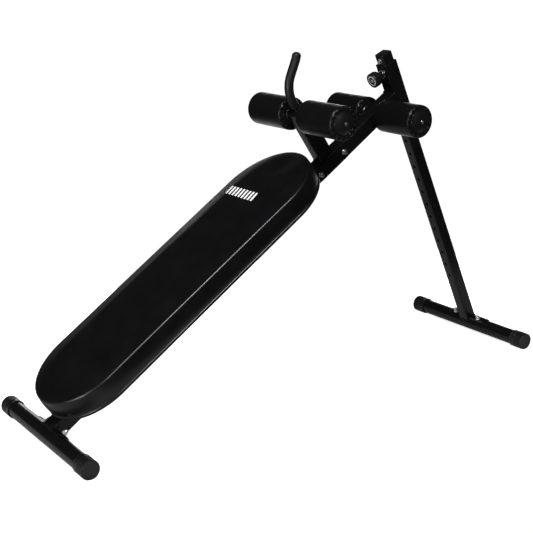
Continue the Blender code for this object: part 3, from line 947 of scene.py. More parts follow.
# --- beam ---------------------------------------------------------------------------------
@dataclass
class Beam:
    """Two lengths of square tube, joined under the post by bolted side plates."""

    axes: Axes
    leg: Axes
    side: float = 0.050
    wall: float = 0.002
    seat_radius: float = 0.0296
    joint_at: float = 1.158
    plates_at: float = 1.1895
    joint_bolts: float = 0.055
    plate: float = 0.003
    bar_radius: float = 0.0125

    def build(self) -> None:
        """Make both tubes, the plates and their bolts."""
        forward = self.axes.at(0, 0, 0, Along.FORWARD)
        low_bolt, high_bolt = (self.plates_at + sign * self.joint_bolts for sign in (-1, 1))
        lower = square_tube(self.side, self.side, self.wall, coped(self.seat_radius),
                            level(self.joint_at - GAP))
        Shape().add(lower, forward, ring=True).piece(
            "lower_beam_tube", COAT, "frame", ("lower_beam",), self.bolt_drill(low_bolt))
        upper = square_tube(self.side, self.side, self.wall, level(self.joint_at), self.mitre)
        bar = centre("foot_crossbar") - self.axes.origin
        along, above = bar @ self.axes.rows[0], bar @ self.axes.rows[2]
        drills = self.bolt_drill(high_bolt)
        rod(self.bar_radius + GAP, -0.04, 0.04,
            self.axes.at(along, 0, above, Along.FAR), 48, drills)
        Shape().add(upper, forward, ring=True).piece(
            "upper_beam_tube", COAT, "frame", ("upper_beam",), drills)
        for side, turn in (("near", Along.NEAR), ("far", Along.FAR)):
            self.joint_plate(side, turn)
            ring_weld(f"foot_crossbar_weld_{side}", self.axes.at(along, 0, above, turn),
                      self.bar_radius, self.side / 2 + 0.0004)
        face = self.side / 2 + GAP + self.plate
        for place, at in (("low", low_bolt), ("high", high_bolt)):
            hex_bolt(f"joint_hex_bolt_{place}", self.axes.at(at, -face, 0, Along.NEAR),
                     2 * face + 0.0100, "frame", f"joint_bolt_{place}")
            domed_nut(f"joint_domed_nut_{place}", self.axes.at(at, face, 0, Along.FAR),
                      "frame", f"joint_nut_{place}")
        outline = rounded_box(self.side + 0.001, self.side + 0.001, 0.004)
        weld("sleeve_weld", lift(outline, self.mitre(outline) - 0.0010), forward, 0.0026)

    def mitre(self, outline: np.ndarray) -> np.ndarray:
        """How far along the beam the sleeve's face lies, where -X of an outline is height.

        The face is the plane a gap in front of the sleeve, square to the leg frame's -X.

        Args:
            outline: Points of a section of the beam.

        Returns:
            The distance at each point.
        """
        to_leg = self.leg.origin - self.axes.origin
        face = -self.leg.rows[0]
        reach = to_leg @ face + self.side / 2 + GAP
        return (reach + outline[:, 0] * (self.axes.rows[2] @ face)) / (self.axes.rows[0] @ face)

    def bolt_drill(self, along: float, shape: Shape | None = None) -> Shape:
        """A drill for a bolt right across the beam."""
        return rod(BOLT_HOLE, -0.05, 0.05, self.axes.at(along, 0, 0, Along.FAR), shape=shape)

    def joint_plate(self, side: str, turn: Along) -> None:
        """A side plate: rounded outlines stepped in at both faces for eased edges.

        Args:
            side: Which side, in the piece's name.
            turn: The way that side faces.
        """
        wide, deep, corner = 2 * self.joint_bolts + 0.034, 0.044, 0.012
        low = self.side / 2 + GAP
        high = low + self.plate
        grid = boxes(*((wide - 2 * inset, deep - 2 * inset, corner - inset, height)
                       for inset, height in ((0.0006, low), (0, low + 0.0006), (0, high - 0.0006),
                                             (0.0002, high - 0.0002), (0.0006, high))))
        drills = self.bolt_drill(self.plates_at - self.joint_bolts)
        self.bolt_drill(self.plates_at + self.joint_bolts, drills)
        Shape().add(grid, self.axes.at(self.plates_at, 0, 0, turn), shut=True).piece(
            f"joint_side_plate_{side}", COAT, "frame", (f"joint_plate_{side}",), drills)


# --- post and handle ----------------------------------------------------------------------
@dataclass
class Post:
    """The upright on the beam, closed on top, with its weld and the knee bar's weld rings."""

    axes: Axes
    at: float = 1.188
    long: float = 0.054
    wide: float = 0.040
    base: float = 0.0253
    top: float = 0.207
    wall: float = 0.002
    bar_radius: float = 0.0125
    handle_radius: float = 0.011
    ease: float = 0.0025        # radius of the edge round its closed top

    def build(self) -> None:
        """Make the post and its welds."""
        stand = self.axes.at(self.at, 0, 0)
        bar = centre("knee_crossbar") - self.axes.origin
        along, above = bar @ self.axes.rows[0], bar @ self.axes.rows[2]
        bore = (self.long - 2 * self.wall, self.wide - 2 * self.wall, 0.002)
        turn = np.linspace(0, math.pi / 2, 6)
        insets, rises = self.ease * (1 - np.cos(turn)), self.ease * (np.sin(turn) - 1)
        shoulder = [(self.long - 2 * inset, self.wide - 2 * inset, 0.004 - inset / 2,
                     self.top + rise) for inset, rise in zip(insets, rises)]
        walls = boxes((*bore, self.top - 0.003), (*bore, self.base),
                      (self.long, self.wide, 0.004, self.base), *shoulder)
        drills = rod(self.bar_radius + GAP, -0.04, 0.04,
                     self.axes.at(along, 0, above, Along.FAR), 48)
        rod(self.handle_radius + GAP, self.top - 0.004, self.top + 0.01, stand, 48, drills)
        Shape().add(walls, stand, shut=True).piece(
            "knee_post_tube", COAT, "frame", ("knee_post",), drills)
        outline = rounded_box(self.long + 0.001, self.wide + 0.001, 0.004)
        weld("knee_post_weld", lift(outline, self.base + 0.0012), stand, 0.0028)
        ring_weld("handle_weld", stand, self.handle_radius, self.top + 0.0004)
        for side, turned in (("near", Along.NEAR), ("far", Along.FAR)):
            ring_weld(f"knee_crossbar_weld_{side}", self.axes.at(along, 0, above, turned),
                      self.bar_radius, self.wide / 2 + 0.0004)


@dataclass
class Handle:
    """A bent tube out of the post's top, with a dipped grip closed over its end."""

    axes: Axes                  # the beam frame
    start: tuple[float, float] = (1.188, 0.2042)
    lengths: tuple[float, ...] = (0.032, 0.0865, 0.042, 0.019)
    bends: tuple[float, ...] = (0.0, -56.0, 0.0, 11.0)
    bare: float = 0.016
    radius: float = 0.011
    wall: float = 0.002
    grip_radius: float = 0.014
    step: float = 0.002

    def path(self) -> tuple[np.ndarray, np.ndarray]:
        """The centre line: each run bends evenly, so heading is a running sum of small turns.

        Returns:
            Points in the beam frame, and the heading at each in radians above its X.
        """
        counts = np.maximum(np.round(np.array(self.lengths) / self.step), 1).astype(int)
        advance = np.repeat(np.array(self.lengths) / counts, counts)
        turn = np.repeat(np.radians(self.bends) / counts, counts)
        heading = math.pi / 2 + np.concatenate([[0], np.cumsum(turn)])
        middle = (heading[1:] + heading[:-1]) / 2
        x = self.start[0] + np.concatenate([[0], np.cumsum(advance * np.cos(middle))])
        z = self.start[1] + np.concatenate([[0], np.cumsum(advance * np.sin(middle))])
        return np.column_stack([x, np.zeros_like(x), z]), heading

    def rings(self, points: np.ndarray, heading: np.ndarray, radius: np.ndarray,
              ahead: np.ndarray) -> np.ndarray:
        """Circles square to the path: point + ahead F + r (cos a A + sin a Y).

        Args:
            points: The path's points.
            heading: Heading at each.
            radius: Radius of each circle.
            ahead: How far each circle is pushed along the path.

        Returns:
            A grid with one row for each circle.
        """
        forward = np.column_stack([np.cos(heading), np.zeros_like(heading), np.sin(heading)])
        across = np.column_stack([-np.sin(heading), np.zeros_like(heading), np.cos(heading)])
        middle = points + forward * ahead[:, None]
        around = spokes(across, np.tile(ACROSS, (len(across), 1)), 48)
        return middle[:, None] + around * radius[:, None, None]

    def build(self) -> None:
        """Make the tube and the grip."""
        points, heading = self.path()
        flat = np.zeros(len(points))
        outer = self.rings(points, heading, flat + self.radius, flat)
        inner = self.rings(points, heading, flat + self.radius - self.wall, flat)[::-1]
        Shape().add(np.concatenate([outer, inner]), self.axes, ring=True).piece(
            "handle_bent_tube", COAT, "frame", ("handle_tube",))
        first = round(self.bare / self.step)
        points, heading = points[first:], heading[first:]
        last, flat = len(points) - 1, np.zeros(len(points))
        bore, big = self.radius + GAP, self.grip_radius
        turn = np.linspace(0, math.pi / 2, 12)      # from the skin to the middle of the round end
        at = np.concatenate([np.zeros(4, int), np.arange(1, last + 1), np.full(len(turn), last)])
        radius = np.concatenate([[bore, bore + 0.0016, big - 0.0008, big - 0.0002],
                                 np.full(last, big), big * np.cos(turn)])
        ahead = np.concatenate([[0, 0, 0.0004, 0.0012], np.zeros(last), 0.8 * big * np.sin(turn)])
        outside = self.rings(points[at], heading[at], radius, ahead)
        inside = self.rings(points[::-1], heading[::-1], flat + bore, flat)
        tip = self.rings(points[-1:], heading[-1:], np.array([0.0]), np.array([0.0006]))
        Shape().add(np.concatenate([tip, inside, outside]), self.axes).piece(
            "handle_dipped_grip", GRIP, "frame", ("handle_grip",))


# --- rollers ------------------------------------------------------------------------------
@dataclass
class RollerPair:
    """A crossbar and its two foam rollers, each with a notched cap in either end."""

    name: str
    axes: Axes                  # the beam frame
    span: tuple[float, float]   # from the bench's middle to a roller's two ends
    bar_radius: float = 0.0125
    wall: float = 0.002
    radius: float = 0.051
    cap: float = 0.0045
    bore: float = 0.016
    notches: int = 16
    notch_depth: float = 0.0037
    rim_width: float = 0.0013   # the unbroken ring outside the teeth
    tooth_half: float = 0.0062  # half of a tooth's length from rim to dome
    tooth_slope: float = 50.0   # how steeply a tooth's rounded top ends, in degrees
    tooth_foot: float = 0.0016  # how far below the cap's face a tooth's ends lie
    dome_radius: float = 0.0330
    dome_rise: float = 0.0098
    hub_depth: float = 0.030    # how far a cap's stub reaches into the foam
    waviness: float = 0.0002    # of the foam's skin

    def build(self) -> None:
        """Make the bar, then both rollers."""
        middle = Axes(centre(f"{self.name}_crossbar"), self.axes.rows)
        reach = self.span[1] - self.cap
        Shape().add(pipe(self.bar_radius, self.wall, reach), middle.at(0, 0, 0, Along.FAR),
                    ring=True).piece(
            f"{self.name}_bar_tube", COAT, "frame", (f"{self.name}_crossbar",))
        for side, turn in (("near", Along.NEAR), ("far", Along.FAR)):
            roller = f"{self.name}_roller_{side}"
            out = middle.at(0, 0, 0, turn)
            self.foam(roller, out)
            self.inner_cap(roller, out)
            self.outer_cap(roller, out)
            self.collar(f"{self.name}_bar_collar_{side}", out)

    def foam(self, roller: str, out: Axes) -> None:
        """The sleeve: a turned tube whose skin rises and falls as moulded foam does.

        The swell is r + waviness sin(3a + 40h) sin(90h), and nothing in the bore.

        Args:
            roller: The roller's body and the start of its pieces' names.
            out: The frame at the bench's middle whose Z points to the roller.
        """
        low, high = self.span[0] + self.cap + GAP, self.span[1] - self.cap - GAP
        side = np.column_stack([np.full(30, self.radius), np.linspace(low, high, 30)])
        outside = fillet(np.vstack([[[self.bore, low], [self.radius, low]], side[1:-1],
                                    [[self.radius, high], [self.bore, high]]]), 0.0030, 4)

        def swell(r: np.ndarray, a: np.ndarray, h: np.ndarray) -> np.ndarray:
            """Wave the skin only where it is the outer skin."""
            skin = r > self.radius - 0.001
            return r + self.waviness * np.sin(3 * a + 40 * h) * np.sin(90 * h) * skin - 0.0001

        Shape().add(lathe(outside, 96, swell), out, ring=True).piece(
            f"{roller}_foam_sleeve", FOAM, roller, (f"{roller}_foam",))

    def notched(self, profile: np.ndarray, weight: np.ndarray) -> np.ndarray:
        """Turn a cap's profile, sinking evenly spaced pockets where a row's weight is one.

        Each pocket fills the middle of its share of the turn, with steep ends.

        Args:
            profile: Pairs (r, h).
            weight: How deep each row sinks, from 0 to 1.

        Returns:
            A grid of points.
        """
        share = np.array([0.0, 0.18, 0.19, 0.20, 0.50, 0.80, 0.81, 0.82])
        sink = np.array([0.0, 0.0, 0.6, 1.0, 1.0, 1.0, 0.6, 0.0])
        angles = ((np.arange(self.notches)[:, None] + share) * FULL_TURN / self.notches).ravel()
        grid = lathe(profile, angles=angles)
        grid[..., 2] -= self.notch_depth * weight[:, None] * np.tile(sink, self.notches)
        return grid

    def disc(self, face: float, back: float, middle: list[list[float]], flip: bool) -> np.ndarray:
        """A cap's notched face and rim, then its back.

        Args:
            face: Height of the face.
            back: Height where the cap meets the foam.
            middle: Pairs (r, h) that lie inside the notches, from the face inwards.
            flip: Whether the face looks towards the bench, so that pockets sink the other way.

        Returns:
            A grid of points.
        """
        rim = self.radius - 0.0004
        way = -1 if flip else 1
        steep = math.radians(self.tooth_slope)
        lean = np.linspace(-steep, steep, 11)
        ball = self.tooth_half / math.sin(steep)
        reach = rim - self.rim_width - 0.0004 - self.tooth_half - ball * np.sin(lean)
        rise = ball * (np.cos(lean) - math.cos(steep)) - self.tooth_foot
        foot = face - way * self.tooth_foot
        rows = [(rim, back, 0), (rim, face - way * 0.0030, 0),
                (rim - 0.0003, face - way * 0.0022, 0), (rim - 0.0008, face - way * 0.0017, 0),
                (rim - self.rim_width, foot, 0),
                *[(r, face + way * h, 1) for r, h in zip(reach, rise)],
                (rim - 0.0146, foot, 0), (rim - 0.0152, face - way * 0.0004, 0)]
        table = np.array(rows + [(r, h, 0) for r, h in middle])
        return self.notched(table[:, :2], way * table[:, 2])

    def inner_cap(self, roller: str, out: Axes) -> None:
        """The cap that faces the beam: a notched disc, a raised hub and a stub inside the foam.

        Args:
            roller: The roller's body and the start of its pieces' names.
            out: The frame at the bench's middle whose Z points to the roller.
        """
        face, back = self.span[0], self.span[0] + self.cap
        slip, hub, deep = self.bar_radius + 0.0004, self.bore - GAP, back + self.hub_depth
        middle = [[0.0240, face + 0.0004], [0.0225, face - 0.0012], [0.0182, face - 0.0024],
                  [slip + 0.0006, face - 0.0024], [slip, face - 0.0018], [slip, deep],
                  [hub, deep], [hub, back]]
        Shape().add(self.disc(face, back, middle, True), out, ring=True).piece(
            f"{roller}_inner_notched_cap", PLASTIC, roller, (f"{roller}_inner_cap",), sharp=30.0)

    def outer_cap(self, roller: str, out: Axes) -> None:
        """The cap that faces out: a notched disc, a dome and a screw in a recess at its top.

        The dome is a ball's cap: height at radius r is sqrt(R^2 - r^2) over the ball's middle.

        Args:
            roller: The roller's body and the start of its pieces' names.
            out: The frame at the bench's middle whose Z points to the roller.
        """
        face, back = self.span[1], self.span[1] - self.cap
        ball = (self.dome_radius ** 2 + self.dome_rise ** 2) / (2 * self.dome_rise)
        across = np.linspace(self.dome_radius, 0.0067, 12)
        dome = np.column_stack([
            across, face + 0.0004 + self.dome_rise - ball + np.sqrt(ball ** 2 - across ** 2)])
        seat = face + 0.0080
        middle = [*dome.tolist(), [0.0064, seat + 0.0017], [0.0061, seat], [0, seat]]
        slip, hub, deep = self.bar_radius + 0.0004, self.bore - GAP, back - self.hub_depth
        under = np.array([[0, back + 0.0020], [slip, back + 0.0020], [slip, deep], [hub, deep],
                          [hub, back]])
        grid = np.concatenate([self.notched(under, np.zeros(len(under))),
                               self.disc(face, back, middle, False)])
        Shape().add(grid, out).piece(
            f"{roller}_outer_domed_cap", PLASTIC, roller, (f"{roller}_outer_cap",), sharp=30.0)
        self.end_screw(f"{roller}_end_screw", roller, out.at(0, 0, seat + 0.0002))

    def end_screw(self, name: str, roller: str, top: Axes) -> None:
        """A round-headed screw with a hexagonal socket.

        Args:
            name: The piece's name.
            roller: The body it rides on.
            top: A frame whose Z=0 is the face it bears on.
        """
        head_radius, socket = 0.0056, 0.0026
        turn = np.radians(np.linspace(0, 78, 12))
        head = np.column_stack([head_radius * np.cos(turn), 0.0006 + 0.0016 * np.sin(turn)])
        head = head[head[:, 0] > socket + 0.0001]
        outside = np.vstack([[[0, 0], [head_radius, 0]], head, [[socket, 0.0021]]])
        inside = np.array([[socket, 0.0021], [socket, 0.0008], [0, 0.0006]])
        Shape().add(lathe(outside, 48), top).add(lathe(inside, 48, hexagon(0.0040)), top).piece(
            name, ZINC, roller)

    def collar(self, name: str, out: Axes) -> None:
        """A stop ring on the bar, just inside the roller, which keeps it from drifting inwards.

        Args:
            name: The piece's name.
            out: The frame at the bench's middle whose Z points to the roller.
        """
        shape = Shape()
        high = self.span[0] - 0.0030
        washer(shape, out, self.bar_radius + 0.0045, self.bar_radius + 0.0002, high - 0.0045, high)
        shape.piece(name, COAT, "frame")


# --- leg, sleeve and spring pin -----------------------------------------------------------
@dataclass
class Leg:
    """The holed tube that slides in the sleeve, its end cap and its stop bolt."""

    axes: Axes
    side: float = 0.040
    wall: float = 0.002
    top: float = 1.077
    seat_radius: float = 0.0296
    first_hole: float = 0.220
    pitch: float = 0.050
    holes: int = 17
    hole_radius: float = 0.0055
    stop_at: float = 1.061

    def build(self) -> None:
        """Make the tube with its holes, the cap and the bolt."""
        drills = Shape()
        holes = [(self.hole_radius, self.first_hole + number * self.pitch, 40)
                 for number in range(self.holes)]
        for radius, height, sides in (*holes, (BOLT_HOLE, self.stop_at, 32)):
            rod(radius, 0.010, 0.030, self.axes.at(0, 0, height, Along.BACKWARD), sides, drills)
        walls = square_tube(self.side, self.side, self.wall, coped(self.seat_radius),
                            level(self.top))
        Shape().add(walls, self.axes, ring=True).piece(
            "leg_holed_tube", COAT, "leg", ("leg_tube",), drills)
        self.end_cap()
        hex_bolt("stop_hex_bolt", self.axes.at(-self.side / 2, 0, self.stop_at, Along.BACKWARD),
                 0.018, "leg", "stop_bolt")

    def end_cap(self) -> None:
        """A square plug: a head with rounded shoulders, and a skirt inside the tube."""
        side, inside = self.side, self.side - 2 * self.wall - 2 * GAP
        skirt = [(inside, inside, 0.002, self.top + rise) for rise in (-0.004, GAP)]
        head = [(side - inset, side - inset, 0.004, self.top + rise) for inset, rise in (
            (0.0006, GAP), (0, 0.0009), (0, 0.0030), (0.0006, 0.0038), (0.0020, 0.0044),
            (0.0050, 0.0048), (0.0120, 0.0050))]
        Shape().add(boxes(*skirt, *head), self.axes, shut=True).piece(
            "leg_square_end_cap", PLASTIC, "leg", ("leg_end_cap",))


@dataclass
class Sleeve:
    """The tube that guides the leg, a plastic bush in each mouth, and the spring pin."""

    axes: Axes                  # the leg frame
    side: float = 0.050
    wall: float = 0.002
    low: float = 0.865
    high: float = 1.045
    leg_side: float = 0.040
    pin_at: float = 1.020
    housing_end: float = 0.0600
    knob_face: float = 0.0750
    knob_radius: float = 0.0245
    knob_lobes: int = 14
    flute_depth: float = 0.0016
    thread_pitch: float = 0.0015

    def build(self) -> None:
        """Make the sleeve, its bushes and the pin's visible pieces."""
        pull = self.axes.at(0, 0, self.pin_at, Along.BACKWARD)
        walls = square_tube(self.side, self.side, self.wall, level(self.low), level(self.high))
        Shape().add(walls, self.axes, ring=True).piece(
            "adjust_sleeve_tube", COAT, "frame", ("adjust_sleeve",),
            rod(0.0056, 0.015, 0.030, pull))
        self.bush("upper", self.high, 1)
        self.bush("lower", self.low, -1)
        self.housing(pull)
        self.knob(pull)
        dress_nodes(("plunger_pin",), ZINC)
        dress_nodes(("plunger_spring",), SPRING)

    def bush(self, place: str, mouth: float, way: int) -> None:
        """A square collar: a lip over the sleeve's rim and a skirt between sleeve and leg.

        Args:
            place: Which mouth, in the piece's name.
            mouth: Height of that mouth.
            way: Which way along Z is out of the sleeve.
        """
        skirt, hole = self.side - 2 * self.wall - 2 * GAP, self.leg_side + 2 * GAP
        lip = self.side
        rows = [(skirt, 0.002, -0.0140), (skirt, 0.002, GAP), (lip - 0.0006, 0.004, GAP),
                (lip, 0.004, GAP + 0.0006), (lip, 0.004, 0.0022), (lip - 0.0008, 0.004, 0.0030),
                (lip - 0.0024, 0.004, 0.0033), (hole + 0.0010, 0.002, 0.0033),
                (hole, 0.002, 0.0028), (hole, 0.002, -0.0140)]
        grid = boxes(*((wide, wide, corner, mouth + way * rise) for wide, corner, rise in rows))
        Shape().add(grid, self.axes, ring=True).piece(
            f"sleeve_{place}_collar", PLASTIC, "frame", (f"sleeve_bush_{place}",))

    def housing(self, pull: Axes) -> None:
        """The pin's barrel: a threaded barrel with an eased rim, in a welded hex foot.

        The barrel's radius at height h is 0.0106 + 0.0004 cos(2 pi h / pitch).

        Args:
            pull: The frame at the pin whose Z is the way it is pulled.
        """
        start, end = self.side / 2 + GAP, self.housing_end
        turns = np.arange(start + 0.0086, end - 0.0040, 0.0005)
        ridge = 0.0106 + 0.0004 * np.cos(turns * FULL_TURN / self.thread_pitch)
        walls = np.vstack([
            [[0.0082, start], [0.0110, start], [0.0110, start + 0.0080]],
            np.column_stack([ridge, turns]),
            [[0.0110, end - 0.0034], [0.0110, end - 0.0006], [0.0104, end], [0.0039, end],
             [0.0039, end - 0.003], [0.0082, end - 0.003]]])
        Shape().add(lathe(walls, 72), pull, ring=True).piece(
            "plunger_threaded_housing", COAT, "frame", ("plunger_housing",))
        foot = Shape()
        hex_prism(foot, pull, 0.0240, start, start + 0.0070)
        foot.piece("plunger_hex_foot", ZINC, "frame")
        ring_weld("plunger_housing_weld", pull, 0.0130, start + 0.0002, 0.0018)

    def flutes(self, radius: np.ndarray, angle: np.ndarray, height: np.ndarray) -> np.ndarray:
        """Finger grooves round the knob: depth (0.5 + 0.5 cos(lobes a))^2 on its side.

        Args:
            radius: Radius at each point.
            angle: Angle about the knob's axis.
            height: Height over the pin's frame.

        Returns:
            The radius to use instead.
        """
        groove = (0.5 + 0.5 * np.cos(self.knob_lobes * angle)) ** 2
        low, high = self.knob_face - 0.0235, self.knob_face - 0.0006
        band = np.clip((height - low) / 0.002, 0, 1) * np.clip((high - height) / 0.002, 0, 1)
        return radius - self.flute_depth * band * groove * (radius > 0.018)

    def knob(self, pull: Axes) -> None:
        """A fluted knob with a rounded shoulder, a raised ring on its dished face and a neck.

        Args:
            pull: The frame at the pin whose Z is the way it is pulled.
        """
        big, face = self.knob_radius, self.knob_face
        outline = [(0, 0.0012), (0.0112, 0.0012), (0.0120, 0.0004), (0.0172, 0.0004),
                   (0.0180, 0.0014), (0.0200, 0.0012), (0.0218, 0), (big - 0.0010, 0.0006),
                   (big, 0.0030), (big, 0.0060), (big, 0.0120), (big, 0.0180),
                   (big - 0.0030, 0.0250), (0.0165, 0.0290), (0.0150, 0.0335), (0.0130, 0.0335),
                   (0.0130, 0.0120), (0.0038, 0.0120), (0.0038, 0.0047), (0, 0.0047)]
        profile = fillet(np.array([(radius, face - depth) for radius, depth in outline]), 0.0008, 3)
        Shape().add(lathe(profile, 10 * self.knob_lobes, self.flutes), pull).piece(
            "plunger_fluted_knob", PLASTIC, "plunger", ("plunger_knob",))
        mark = Shape()
        washer(mark, pull, 0.0168, 0.0130, face - 0.0007, face - 0.0001)
        washer(mark, pull, 0.0052, 0.0030, face - 0.0015, face - 0.0009)
        mark.piece("plunger_knob_ring", RING_INK, "plunger")


# --- pad ----------------------------------------------------------------------------------
@dataclass
class Pad:
    """A foam pad in a sewn vinyl cover: crowned top panel, side band, and a rolled lower edge.

    Its surface is a grid: the column says where round the outline, the row how far from the
    top's middle line, out over the edge, down the side and under to the board's pocket.
    """

    axes: Axes                  # the beam frame
    start: float = 0.0485
    length: float = 1.0715
    half: float = 0.163
    low_round: float = 0.165
    high_round: float = 0.180
    bottom: float = 0.0290
    top: float = 0.1030
    pocket: float = 0.007
    board_top: float = 0.0409
    slack: float = 0.0005       # how much smaller the pad is before it is filled
    crown_rise: float = 0.0006  # how far the top panel's middle stands over its edge
    crowding: float = 0.85      # below 1, the top panel's rows lie closer near its edge
    end_reach: float = 0.45     # how far the top panel's middle line goes into a round end
    band_bulge: float = 0.0022  # how far the side band's middle stands out
    seam_width: float = 0.6     # of the pull along a seam, in rows
    edge: float = 0.0100        # radius of the edge between top panel and side band
    roll: float = 0.0100        # height of the rolled edge under the side band
    arc_columns: int = 72
    straight_columns: int = 88
    top_rows: int = 16
    pressure: float = 3.0
    frames: int = 20
    cap: float = 0.0060
    seam_hold: float = 0.8      # how firmly the top seam is held, where 1 is fixed
    ironing: int = 24           # passes that even out the filling's wrinkles round the outline
    stitch_pitch: float = 0.0055
    mark_bars: int = 9
    mark_across: tuple[float, float] = (-0.031, 0.117)
    mark_along: tuple[float, float] = (0.888, 0.922)
    mark_fill: float = 0.50     # a bar's width, as a share of the space it has
    mark_slant: float = 0.25    # how far its upper end is shifted, as a share of that space

    def build(self) -> None:
        """Make the cover, its seams and print, and dress the board and its fixings."""
        dress_nodes(("pad_board",), PLYWOOD)
        dress_nodes(("pad_bracket_low", "pad_bracket_high"), COAT)
        dress_nodes(tuple(f"pad_screw_{place}_{side}" for place in ("low", "high")
                          for side in ("near", "far")), ZINC)
        grid, seams = self.surface()
        grid = self.filled(grid, seams)
        grid = self.sewn(grid, seams)
        cover = Shape().add(grid, self.axes)
        thing = cover.piece("pad_vinyl_cover", VINYL, "frame", ("pad_cushion",), sharp=80.0)
        smooth = thing.modifiers.new("smooth", "SUBSURF")
        smooth.levels = smooth.render_levels = 1
        self.stitches(grid[seams["top"] + 1])
        self.print_mark(grid[:seams["top"]])

    def outline(self, columns_at: np.ndarray, inset: float) -> np.ndarray:
        """The pad's plan: straight sides closed by half an ellipse at each end.

        Args:
            columns_at: Place round the outline, from 0 to 4: high end, far side, low end,
                near side.
            inset: How far inside the true outline.

        Returns:
            Points as (n, 2).
        """
        half = self.half - inset
        high = self.start + self.length - self.high_round
        low = self.start + self.low_round
        part, share = np.floor(columns_at).astype(int), columns_at % 1
        turn = math.pi * share - math.pi / 2
        x = np.choose(part, [
            high + (self.high_round - inset) * np.cos(turn), high + (low - high) * share,
            low - (self.low_round - inset) * np.cos(turn), low + (high - low) * share])
        y = np.choose(part, [half * np.sin(turn), np.full_like(share, half),
                             -half * np.sin(turn), np.full_like(share, -half)])
        return np.column_stack([x, y])

    def columns(self) -> np.ndarray:
        """Where the columns lie round the outline, close together round the ends.

        Returns:
            Places round the outline, from 0 to 4, as in outline().
        """
        arc = np.arange(self.arc_columns) / self.arc_columns
        straight = np.arange(self.straight_columns) / self.straight_columns
        return np.concatenate([arc, 1 + straight, 2 + arc, 3 + straight])

    def section(self) -> tuple[np.ndarray, dict[str, int]]:
        """The side's section from the top's edge to the pocket, as (inset, height) pairs.

        Returns:
            The pairs, and which pair each seam lies on.
        """
        top, low = self.top - self.crown_rise, self.bottom
        turn = np.radians(np.linspace(0, 90, 7))
        edge = np.column_stack([self.edge * (1 - np.sin(turn)),
                                top - self.edge * (1 - np.cos(turn))])
        height = np.linspace(top - self.edge, low + self.roll, 9)
        bulge = np.linspace(0, math.pi, 9)
        side = np.column_stack([-self.band_bulge * np.sin(bulge), height])[1:]
        turn = np.radians(np.linspace(20, 160, 8))
        roll = np.column_stack([0.0010 - 0.0026 * np.sin(turn),
                                low + self.roll * (0.5 + 0.5 * np.cos(turn))])
        under = np.array([[0.0030, low], [self.pocket, low], [self.pocket, self.board_top]])
        pairs = np.vstack([edge, side, roll, under])
        seams = {"top": 3, "low": len(edge) + len(side) - 1}
        return pairs, seams

    def surface(self) -> tuple[np.ndarray, dict[str, int]]:
        """The pad before filling.

        The top panel runs from a middle line to the edge: at share v the plan point is
        M + (E - M) v, and the height falls from the crown as the fourth power of v.

        Returns:
            The grid, and the row of each seam.
        """
        at = self.columns()
        pairs, seams = self.section()
        share = np.linspace(0, 1, self.top_rows + 1)[:-1] ** self.crowding
        rim = self.outline(at, pairs[0, 0] + self.slack)
        middle = self.middle_line(at)
        crown = self.top - self.slack
        fall = crown - (pairs[0, 1] - self.slack)
        top = [lift(middle + (rim - middle) * v, crown - fall * v ** 4) for v in share]
        side = [lift(self.outline(at, inset + self.slack),
                     height - self.slack * (height > self.bottom + 0.02))
                for inset, height in pairs[:-3]]
        held = [lift(self.outline(at, inset), height) for inset, height in pairs[-3:]]
        ceiling = [lift(middle + (self.outline(at, self.pocket) - middle) * v, self.board_top)
                   for v in (0.5, 0.0)]
        grid = np.stack(top + side + held + ceiling)
        return grid, {name: row + self.top_rows for name, row in seams.items()}

    def middle_line(self, at: np.ndarray) -> np.ndarray:
        """The line that the top's columns run to: it reaches part way into each rounded end.

        Args:
            at: Places round the outline, as in outline().

        Returns:
            The line's point for each place, as (n, 2).
        """
        rim = self.outline(at, 0.0)
        high = self.start + self.length - self.high_round
        low = self.start + self.low_round
        inside = np.clip(rim[:, 0], low, high)
        return np.column_stack([inside + self.end_reach * (rim[:, 0] - inside),
                                np.zeros(len(at))])

    def filled(self, grid: np.ndarray, seams: dict[str, int]) -> np.ndarray:
        """Blow the cover up with cloth simulation, held by the board and along its top seam.

        No point moves further than the cap, as a cover of that cut couldn't stretch more, and
        the movement is then evened out round the outline: each pass makes a column's movement
        (left + 2 own + right) / 4.

        Args:
            grid: The surface before filling.
            seams: The row of each seam.

        Returns:
            The filled surface, as a grid again.
        """
        flat = grid.reshape(-1, 3)
        rows, columns = grid.shape[:2]
        index = np.arange(rows * columns).reshape(rows, columns)
        outward = np.roll(quads(np.hstack([index, index[:, :1]]))[:, ::-1], 1, axis=1)
        _, first, back = np.unique(np.round(flat / MERGE).astype(np.int64), axis=0,
                                   return_index=True, return_inverse=True)
        faces = back.reshape(-1)[outward]
        keep = (np.diff(np.sort(faces, axis=1), axis=1) > 0).all(axis=1)
        mesh = bpy.data.meshes.new("filling")
        mesh.from_pydata(flat[first].tolist(), [], faces[keep].tolist())
        thing = put_in_scene("filling", mesh)
        row_of = first // columns
        hold = np.zeros(len(first))
        hold[row_of == seams["top"]] = self.seam_hold
        hold[row_of >= seams["low"]] = 1.0
        group = thing.vertex_groups.new(name="held")
        for weight in np.unique(hold[hold > 0]):
            group.add(np.flatnonzero(hold == weight).tolist(), float(weight), "REPLACE")
        cloth = thing.modifiers.new("fill", "CLOTH")
        cloth.settings.quality = 6
        cloth.settings.mass = 0.3
        cloth.settings.tension_stiffness = cloth.settings.compression_stiffness = 20
        cloth.settings.bending_stiffness = 2.0
        cloth.settings.vertex_group_mass = "held"
        cloth.settings.use_pressure = True
        cloth.settings.uniform_pressure_force = self.pressure
        cloth.settings.effector_weights.gravity = 0
        cloth.collision_settings.use_collision = False
        cloth.point_cache.frame_end = self.frames
        for number in range(1, self.frames + 1):
            bpy.context.scene.frame_set(number)
        graph = bpy.context.evaluated_depsgraph_get()
        moved = np.empty(len(first) * 3)
